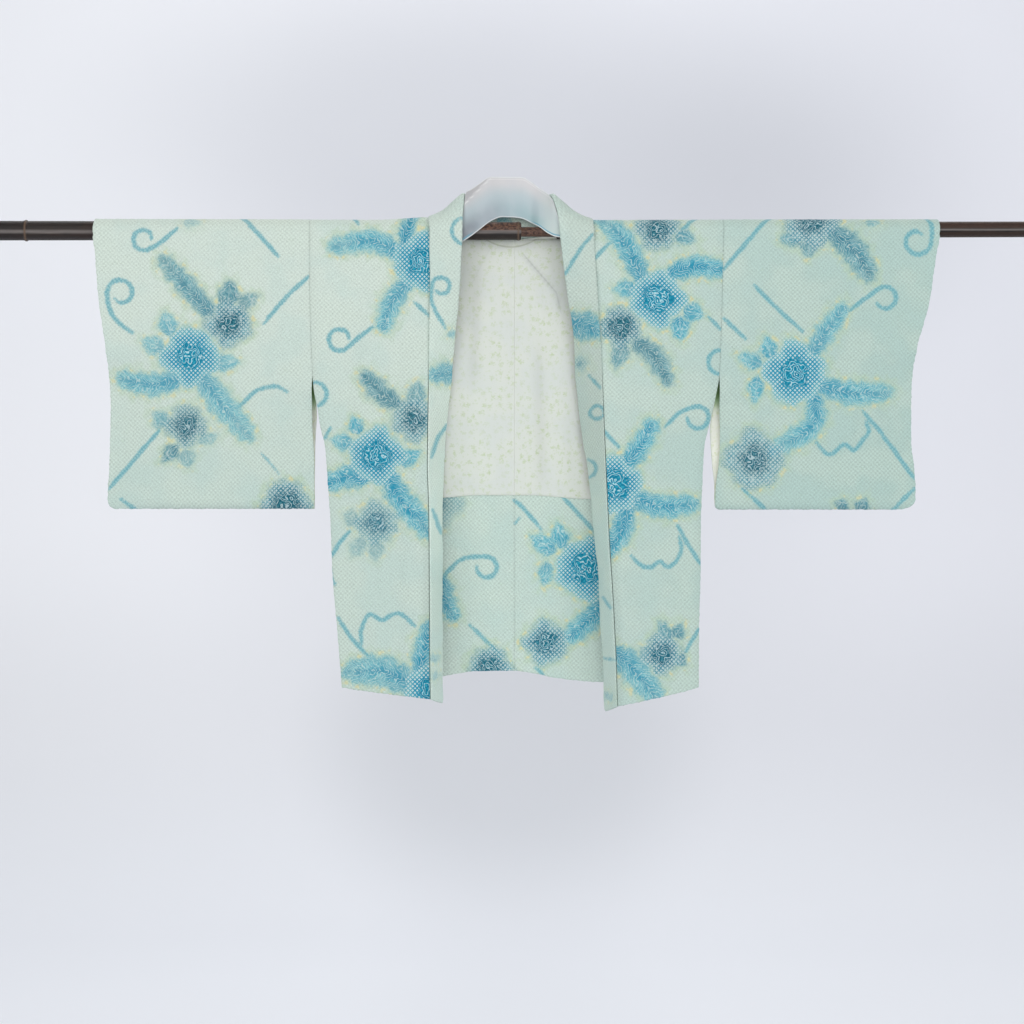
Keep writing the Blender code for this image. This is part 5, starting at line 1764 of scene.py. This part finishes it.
def build_collar():
    halves = []
    for side in ("left", "right"):
        hem = FRONT_HEM[side][1]
        dense = np.concatenate((np.linspace(hem, 0, 200), np.linspace(0, 50, 120)[1:], np.linspace(50, 62, 160)[1:]))
        seam, beside, fold, edge = collar_path(side, dense)
        middle = (seam + fold + edge) / 3
        run = np.concatenate(([0], np.cumsum(np.linalg.norm(np.diff(middle, axis=0), axis=1))))
        count = 288
        want = np.concatenate(([0.0, 0.8], np.linspace(3.2, run[-1], count - 1)))
        tau = np.interp(want, run, dense)
        seam, beside, fold, edge = collar_path(side, tau)
        # beside the neck the outer half hangs hollow between its fold and its edge
        crown = np.exp(-(((tau - 25) / 12.0) ** 2))
        edge[:, 2] -= (3.2 if side == "right" else 0.9) * crown
        halves.append((want, seam, beside, fold, edge, crown))
    left, right = halves
    parts = []
    for k in range(1, 6):
        joined = np.concatenate([left[k], right[k][::-1][1:]])
        parts.append(joined)
    seam, beside, fold, edge, crown = parts
    run = np.concatenate([left[0], 2 * left[0][-1] + (right[0][-1] - left[0][-1]) - right[0][::-1][1:]])
    count = len(seam)
    up = unit(fold - seam)
    turn = np.sum(unit(seam - beside) * up, -1, keepdims=True)
    start = seam + up * (SEAM + 0.1 + CLOTH / 2 * np.sqrt(np.clip(1 - np.minimum(1.0, turn) ** 2, 0, 1)))
    out = edge - seam
    normal = unit(out - up * np.sum(out * up, -1, keepdims=True))
    near = fold - up * FOLD - normal * FOLD
    far = fold - up * FOLD + normal * FOLD
    rows = []
    inner_t = np.concatenate(([0.0, 0.02], np.linspace(0.07, 1, 13)))
    for t in inner_t:
        # the lower rows lie on the straight leg, a little fuller half way
        rows.append(start + (near - start) * t - normal * (0.5 * math.sin(math.pi * t)))
    for a in np.linspace(0, math.pi, 8)[1:-1]:
        rows.append(fold - up * FOLD - normal * (FOLD * math.cos(a)) + up * (FOLD * math.sin(a)))
    outer_t = np.concatenate((np.linspace(0, 0.95, 17), [0.985, 1.0]))
    roll = 0.7 + 0.6 * ease((np.abs(np.arange(count) / (count - 1) - 0.5) - 0.28) / 0.15)[:, None]
    for t in outer_t:
        full = roll * 1.1 * math.sin(math.pi * min(1.0, t * 1.02)) ** 0.8
        full = full - 5.2 * crown[:, None] * math.sin(math.pi * t**1.5)
        rows.append(far + (edge - far) * t + normal * full)
    g = np.stack(rows, 1)
    if g.shape[1] % 2 == 0:
        g = np.delete(g, 8, axis=1)
    fold_line, up_line = fold, up
    if g.shape[0] % 2 == 0:
        g = np.delete(g, 40, axis=0)
        run = np.delete(run, 40)
        fold_line, up_line = np.delete(fold, 40, axis=0), np.delete(up, 40, axis=0)
    # the fold's corner is rounded where the band ends
    reach = np.minimum(run, run[-1] - run)[:, None]
    back_off = 7.0 * (1 - np.sqrt(1 - (1 - np.clip(reach / 9.0, 0, 1)) ** 2))
    away = np.linalg.norm(g - fold_line[:, None, :], axis=2)
    g = g - up_line[:, None, :] * (back_off * ease(1 - away / 15.0))[..., None]
    # soft unevenness along the band
    n = grid_normals(g)
    across = np.concatenate((np.zeros((g.shape[0], 1)), np.cumsum(np.linalg.norm(np.diff(g, axis=1), axis=2), 1)), 1)
    calm = ease(distance_to_edges(g) / 10)
    wave = 0.35 * np.sin(run[:, None] * 0.050 + across * 0.06) + 0.25 * np.sin(run[:, None] * 0.117 + 1.0)
    wave = wave + 0.7 * pucker(across, run[:, None] + 0 * across)
    sgn = -1.0 if n[60, -6, 1] > 0 else 1.0
    g = g + n * sgn * (wave * calm)[..., None]
    x, z = g[..., 0], g[..., 2]
    fields = dye(x, z, COLLAR_FLOWERS, COLLAR_LEAVES, COLLAR_ARMS, COLLAR_STROKES, COLLAR_SPIRALS)
    edge_d = distance_to_edges(g)
    fields["cut"] = plan_uv(across, run[:, None] + 0 * across)
    # painted light and shade on the outer leg: lighter towards the hem on both sides, lighter below the neck on the
    # viewer's left, a little darker high on the viewer's right
    low = ease((-300 - z) / 160)
    painted_light_shade = np.where(x < 0, 0.14 * ease((-60 - z) / 120) + 0.13 * low, -0.05 + 0.17 * low) * ease((across - 30) / 20)
    # painted light down the middle of the viewer's left leg, with less of the green darkening, and painted shade
    # near its hem
    mid = np.where(x < 0, ease((-130 - z) / 140) * ease((z + 540) / 80), 0.0)
    painted_light_shade = painted_light_shade + 0.05 * mid - np.where(x < 0, 0.035 * ease((-490 - z) / 50), 0.0)
    cast = 0.10 + 0.62 * cast_of(x, z) - 0.22 * mid
    fields["edge_and_shading"] = edge_and_shading(edge_d, np.maximum(cast, 0.0), 0.01 - painted_light_shade)
    obj, _ = make_shell("jacket_collar", g, CLOTH, lambda q, m: -m[60, -6, 1], (CREPE, CREPE), fields)
    return obj


def build_stay():
    n_at = np.linspace(0, 12, 73)
    t = with_rims(24, 80)
    low = np.stack([look(STAY, f"low_{a}", n_at) for a in "xyz"], -1)
    high = np.stack([look(STAY, f"high_{a}", n_at) for a in "xyz"], -1)
    bow = look(STAY, "bow", n_at)
    n_at = np.asarray(n_at)
    tt = t[None, :, None]
    g = low[:, None, :] * (1 - tt) + high[:, None, :] * tt
    g[..., 1] += bow[:, None] * np.sin(math.pi * t)[None, :]
    g[..., 0] += 1.4 * np.sin(math.pi * t)[None, :] * ease((n_at - 10) / 2)[:, None]
    x, z = g[..., 0], g[..., 2]
    # a slanting crease in its left shoulder: the fold in the sheet, with painted highlight along its ridge and
    # painted shade above it, towards the upper left
    x0, z0, x1, z1 = -77.0, 40.0, -42.0, 78.0
    length = math.hypot(x1 - x0, z1 - z0)
    off = ((x - x0) * (z1 - z0) - (z - z0) * (x1 - x0)) / length
    fold_shading = np.where(off > -1.8, ease((1.8 - np.abs(off)) / 1.8), 0.0) - ease((-off - 1.2) / 1.5)
    g[..., 1] += -0.8 * np.exp(-((off / 4.0) ** 2))
    fields = dict(
        cut=plan_uv(x, z),
        edge_and_shading=edge_and_shading(distance_to_edges(g), t[None, :] + 0 * x, np.clip(fold_shading, -1, 1)),
    )
    obj, _ = make_shell("neck_stay", g, THIN, lambda q, m: -m[36, 12, 1], (STAY_MAT, STAY_MAT), fields)
    return obj


def culm_profile(culm, nodes, start, end):
    xs = set(np.round(np.arange(start, end, 6.0), 2)) | {start, start + 0.6, end - 0.6, end}
    for nx, _ in nodes:
        for off in np.linspace(-9, 9, 25):
            if start < nx + off < end:
                xs.add(round(nx + off, 2))
    rings = []
    for x in sorted(xs):
        r = float(np.interp(x, culm["x"], culm["radius"]))
        mark = 0.0
        for nx, rise in nodes:
            d = x - nx
            r += rise * math.exp(-((d / 2.6) ** 2)) - 0.5 * math.exp(-(((d - 3.4) / 0.9) ** 2))
            mark = max(mark, math.exp(-((d / 1.5) ** 2)) * (0.5 + rise / 2), 0.0)
        if x in (start, end):
            r -= 0.7
        rings.append((x, float(np.interp(x, culm["x"], culm["centre"])), r, min(1.0, mark)))
    return rings


def build_culm(name, rings, bore=None, sides=56):
    loops = list(rings) if bore is None else [*reversed(bore), *rings]
    pts, data, turned, faces, uvs = [], [], [], [], []
    for x, centre, r, mark in loops:
        for k in range(sides):
            a = 2 * math.pi * k / sides
            # hardly out of round, with the shallow channel that bamboo has
            rr = r * (1 + 0.004 * math.sin(2 * a + 0.004 * x)) - 0.15 * math.exp(-(((a - 4.4) / 0.25) ** 2))
            pts.append((x * MM, rr * math.cos(a) * MM, (centre + rr * math.sin(a)) * MM))
            data.append((x, 12 * math.cos(a) + 3 * math.sin(3 * a), mark))
            turned.append((math.sin(a), math.cos(a), rr))
    count = len(loops)
    for i in range(count - 1):
        for k in range(sides):
            j = (k + 1) % sides
            a, b = i * sides, (i + 1) * sides
            faces.append((a + k, a + j, b + j, b + k))
            u0, u1 = 0.005 + 0.99 * i / (count - 1), 0.005 + 0.99 * (i + 1) / (count - 1)
            v0, v1 = 0.12 + 0.87 * k / sides, 0.12 + 0.87 * (k + 1) / sides
            uvs += [u0, v0, u0, v1, u1, v1, u1, v0]
    for c, ids, turn in ((0.055, range(sides), -1), (0.2, range((count - 1) * sides, count * sides), 1)):
        ids = list(ids)
        if turn < 0:
            ids = ids[::-1]
        faces.append(tuple(ids))
        for q in range(sides):
            a = 2 * math.pi * q / sides
            uvs += [c + 0.05 * math.cos(a), 0.055 + 0.05 * math.sin(a)]
    mesh = bpy.data.meshes.new(name)
    mesh.from_pydata(pts, [], faces)
    mesh.materials.append(BAMBOO)
    layer = mesh.uv_layers.new(name="OFBake")
    layer.data.foreach_set("uv", np.array(uvs, dtype=np.float32))
    attr = mesh.attributes.new("cut", "FLOAT_VECTOR", "POINT")
    attr.data.foreach_set("vector", np.array(data, dtype=np.float32).ravel())
    attr = mesh.attributes.new("turn", "FLOAT_VECTOR", "POINT")
    attr.data.foreach_set("vector", np.array(turned, dtype=np.float32).ravel())
    mesh.shade_smooth()
    mesh.set_sharp_from_angle(angle=math.radians(50))
    obj = bpy.data.objects.new(name, mesh)
    bpy.context.scene.collection.objects.link(obj)
    return obj


rings = culm_profile(CULM_L, NODES_L, -815.0, 8.0)
rings += [
    (8.0, TENON["centre"], TENON["radius"] + 0.6, 0.9),
    (9.0, TENON["centre"], TENON["radius"], 0.0),
    (60.0, TENON["centre"], TENON["radius"], 0.0),
    (TENON["end"] - 0.6, TENON["centre"], TENON["radius"], 0.0),
    (TENON["end"], TENON["centre"], TENON["radius"] - 0.5, 0.0),
]
pole_l = build_culm("bamboo_left", rings)
bore = [(62.0, BORE["centre"], BORE["radius"], 0.3), (BORE["end"], BORE["centre"], BORE["radius"], 0.3)]
pole_r = build_culm("bamboo_right", culm_profile(CULM_R, NODES_R, 62.0, 797.0), bore)
for piece, node in ((pole_l, "pole_left"), (pole_r, "pole_right")):
    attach(piece, "root")
    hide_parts(node)

POLES = ["bamboo_left", "bamboo_right"]
made = {}
for side, s in (("left", "l"), ("right", "r")):
    made[f"body_{s}"] = (build_body(side, s), "crepe")
    made[f"sleeve_{s}"] = (build_sleeve(side, s), "crepe")
    made[f"gusset_{s}"] = (build_gusset(side, s), "crepe")
    made[f"back_lining_{s}"] = (build_back_lining(side, s), "lining")
    made[f"hem_facing_{s}"] = (build_facing(side, s), "crepe")
    made[f"sleeve_lining_{s}"] = (build_sleeve_lining(side, s), "lining")
made["collar"] = (build_collar(), "crepe")
made["collar_stay"] = (build_stay(), "stay")
# cut of what shows: width and length in metres, and the flat area in square metres
CUT = {
    "body": (0.313, 1.450, 0.340, POLES),
    "sleeve": (0.330, 0.905, 0.292, POLES),
    "gusset": (0.060, 0.447, 0.0235, None),
    "back_lining": (0.313, 0.400, 0.120, None),
    "hem_facing": (0.288, 0.290, 0.080, None),
    "sleeve_lining": (0.272, 0.392, 0.106, None),
    "collar": (0.117, 1.640, 0.191, POLES),
    "collar_stay": (0.150, 0.095, 0.0103, None),
}
for node, (piece, slot) in made.items():
    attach(piece, "root")
    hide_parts(node)
    kind = node[:-2] if node[-2:] in ("_l", "_r") else node
    wide, long, area, on = CUT[kind]
    if on is None:
        s = node[-1]
        on = {
            "gusset": [f"jacket_body_{s}"],
            "back_lining": [f"jacket_body_{s}"],
            "hem_facing": [f"jacket_body_{s}"],
            "sleeve_lining": [f"jacket_sleeve_{s}"],
            "collar_stay": ["jacket_collar"],
        }[kind]


# ------------------------------------------------------------------------ the studio
def backdrop():
    """One sheet of paper: floor, soft bend and wall."""
    front, back, floor, top, r = -7.0, 6.2, -1.78, 6.5, 2.2
    profile = [(front, floor)]
    profile += [(front + (back - r - front) * t, floor) for t in np.linspace(0, 1, 9)[1:]]
    for a in np.linspace(0, math.pi / 2, 14)[1:]:
        profile.append((back - r + r * math.sin(a), floor + r - r * math.cos(a)))
    profile += [(back, floor + r + (top - floor - r) * t) for t in np.linspace(0, 1, 8)[1:]]
    xs = np.linspace(-9, 9, 25)
    pts = [(x, y, z) for y, z in profile for x in xs]
    m = len(xs)
    faces = [
        (i * m + k, i * m + k + 1, (i + 1) * m + k + 1, (i + 1) * m + k)
        for i in range(len(profile) - 1)
        for k in range(m - 1)
    ]
    mesh = bpy.data.meshes.new("paper")
    mesh.from_pydata(pts, [], faces)
    mesh.shade_smooth()
    g = Graph("paper")
    geo = g.tree.nodes.new("ShaderNodeNewGeometry")
    x, y, z = g.split(geo.outputs["Position"])
    grain = g.noise(geo.outputs["Position"], 260.0, 2.0, 0.5, "3D").outputs["Fac"]
    cloud = g.noise(geo.outputs["Position"], 0.55, 2.0, 0.5, "3D").outputs["Fac"]
    # painted shadow: slightly deeper pools of tone behind and under the jacket, where its shadow falls on the paper
    def shadow_pool(cx, cz, sx, sz, full):
        fx, fz = g.mul(g.sub(x, cx), sx), g.mul(g.sub(z, cz), sz)
        return g.step(g.math("SQRT", g.add(g.mul(fx, fx), g.mul(fz, fz))), 1.30, full)

    colour = g.mix(g.step(x, -2.4, 2.4), lin(243, 245, 250), lin(233, 235, 242))
    colour = g.mix(g.step(z, -1.15, -1.75), colour, lin(240, 243, 249))
    colour = g.mix(g.mul(shadow_pool(-0.35, 1.08, 0.72, 1.50, 0.30), 0.33), colour, lin(184, 187, 194))
    colour = g.mix(g.mul(shadow_pool(1.08, 0.90, 1.15, 1.35, 0.05), 0.44), colour, lin(184, 187, 194))
    colour = g.mix(g.mul(shadow_pool(0.10, 0.1, 0.75, 0.62, 0.30), 0.35), colour, lin(196, 199, 206))
    colour = g.mix(g.mul(shadow_pool(0.0, -1.30, 0.05, 1.50, 0.10), 0.24), colour, lin(196, 200, 206))
    colour = g.mix(g.mul(shadow_pool(-0.02, -1.25, 1.45, 2.00, 0.50), 0.45), colour, lin(196, 200, 206))
    colour = g.times(colour, g.mad(g.sub(cloud, 0.5), 0.05, 1.0))
    colour = g.times(colour, g.mad(g.sub(grain, 0.5), 0.02, 1.0))
    g.finish(colour, 0.95, None, Specular_IOR_Level=0.05)
    mesh.materials.append(g.mat)
    obj = bpy.data.objects.new("paper", mesh)
    bpy.context.scene.collection.objects.link(obj)


backdrop()


def lamp(name, where, at, size, watts, colour=(1, 1, 1)):
    data = bpy.data.lights.new(name, "AREA")
    data.shape = "RECTANGLE"
    data.size, data.size_y = size
    data.energy = watts
    data.color = colour
    obj = bpy.data.objects.new(name, data)
    bpy.context.scene.collection.objects.link(obj)
    obj.location = where
    aim = np.array(at) - np.array(where)
    yaw = math.atan2(aim[0], -aim[1]) if False else math.atan2(-aim[0], aim[1])
    pitch = math.atan2(aim[2], math.hypot(aim[0], aim[1]))
    obj.rotation_euler = (math.pi / 2 + pitch, 0.0, yaw)
    return obj


lamp("left", (-2.8, -4.0, 1.9), (0, 0, -0.3), (3.0, 3.0), 82, (1.0, 0.995, 0.985))
lamp("right", (3.0, -4.0, 1.2), (0, 0, -0.3), (3.0, 3.0), 72, (1.0, 0.99, 0.985))
lamp("front", (0.2, -4.6, -0.7), (0, 0, -0.35), (3.2, 2.0), 30, (1.0, 0.99, 0.985))
lamp("wall", (-0.8, 1.8, 3.6), (0.2, 6.0, -0.2), (4.5, 2.0), 60)
lamp("sweep", (0.6, 2.6, 3.2), (0.4, 3.2, -1.78), (5.0, 1.2), 62)
world = bpy.data.worlds.new("studio")
bpy.context.scene.world = world
world.use_nodes = True
sky = world.node_tree.nodes["Background"]
sky.inputs["Color"].default_value = (1.0, 0.995, 0.99, 1.0)
sky.inputs["Strength"].default_value = 0.45
bpy.context.scene.view_settings.view_transform = "Standard"
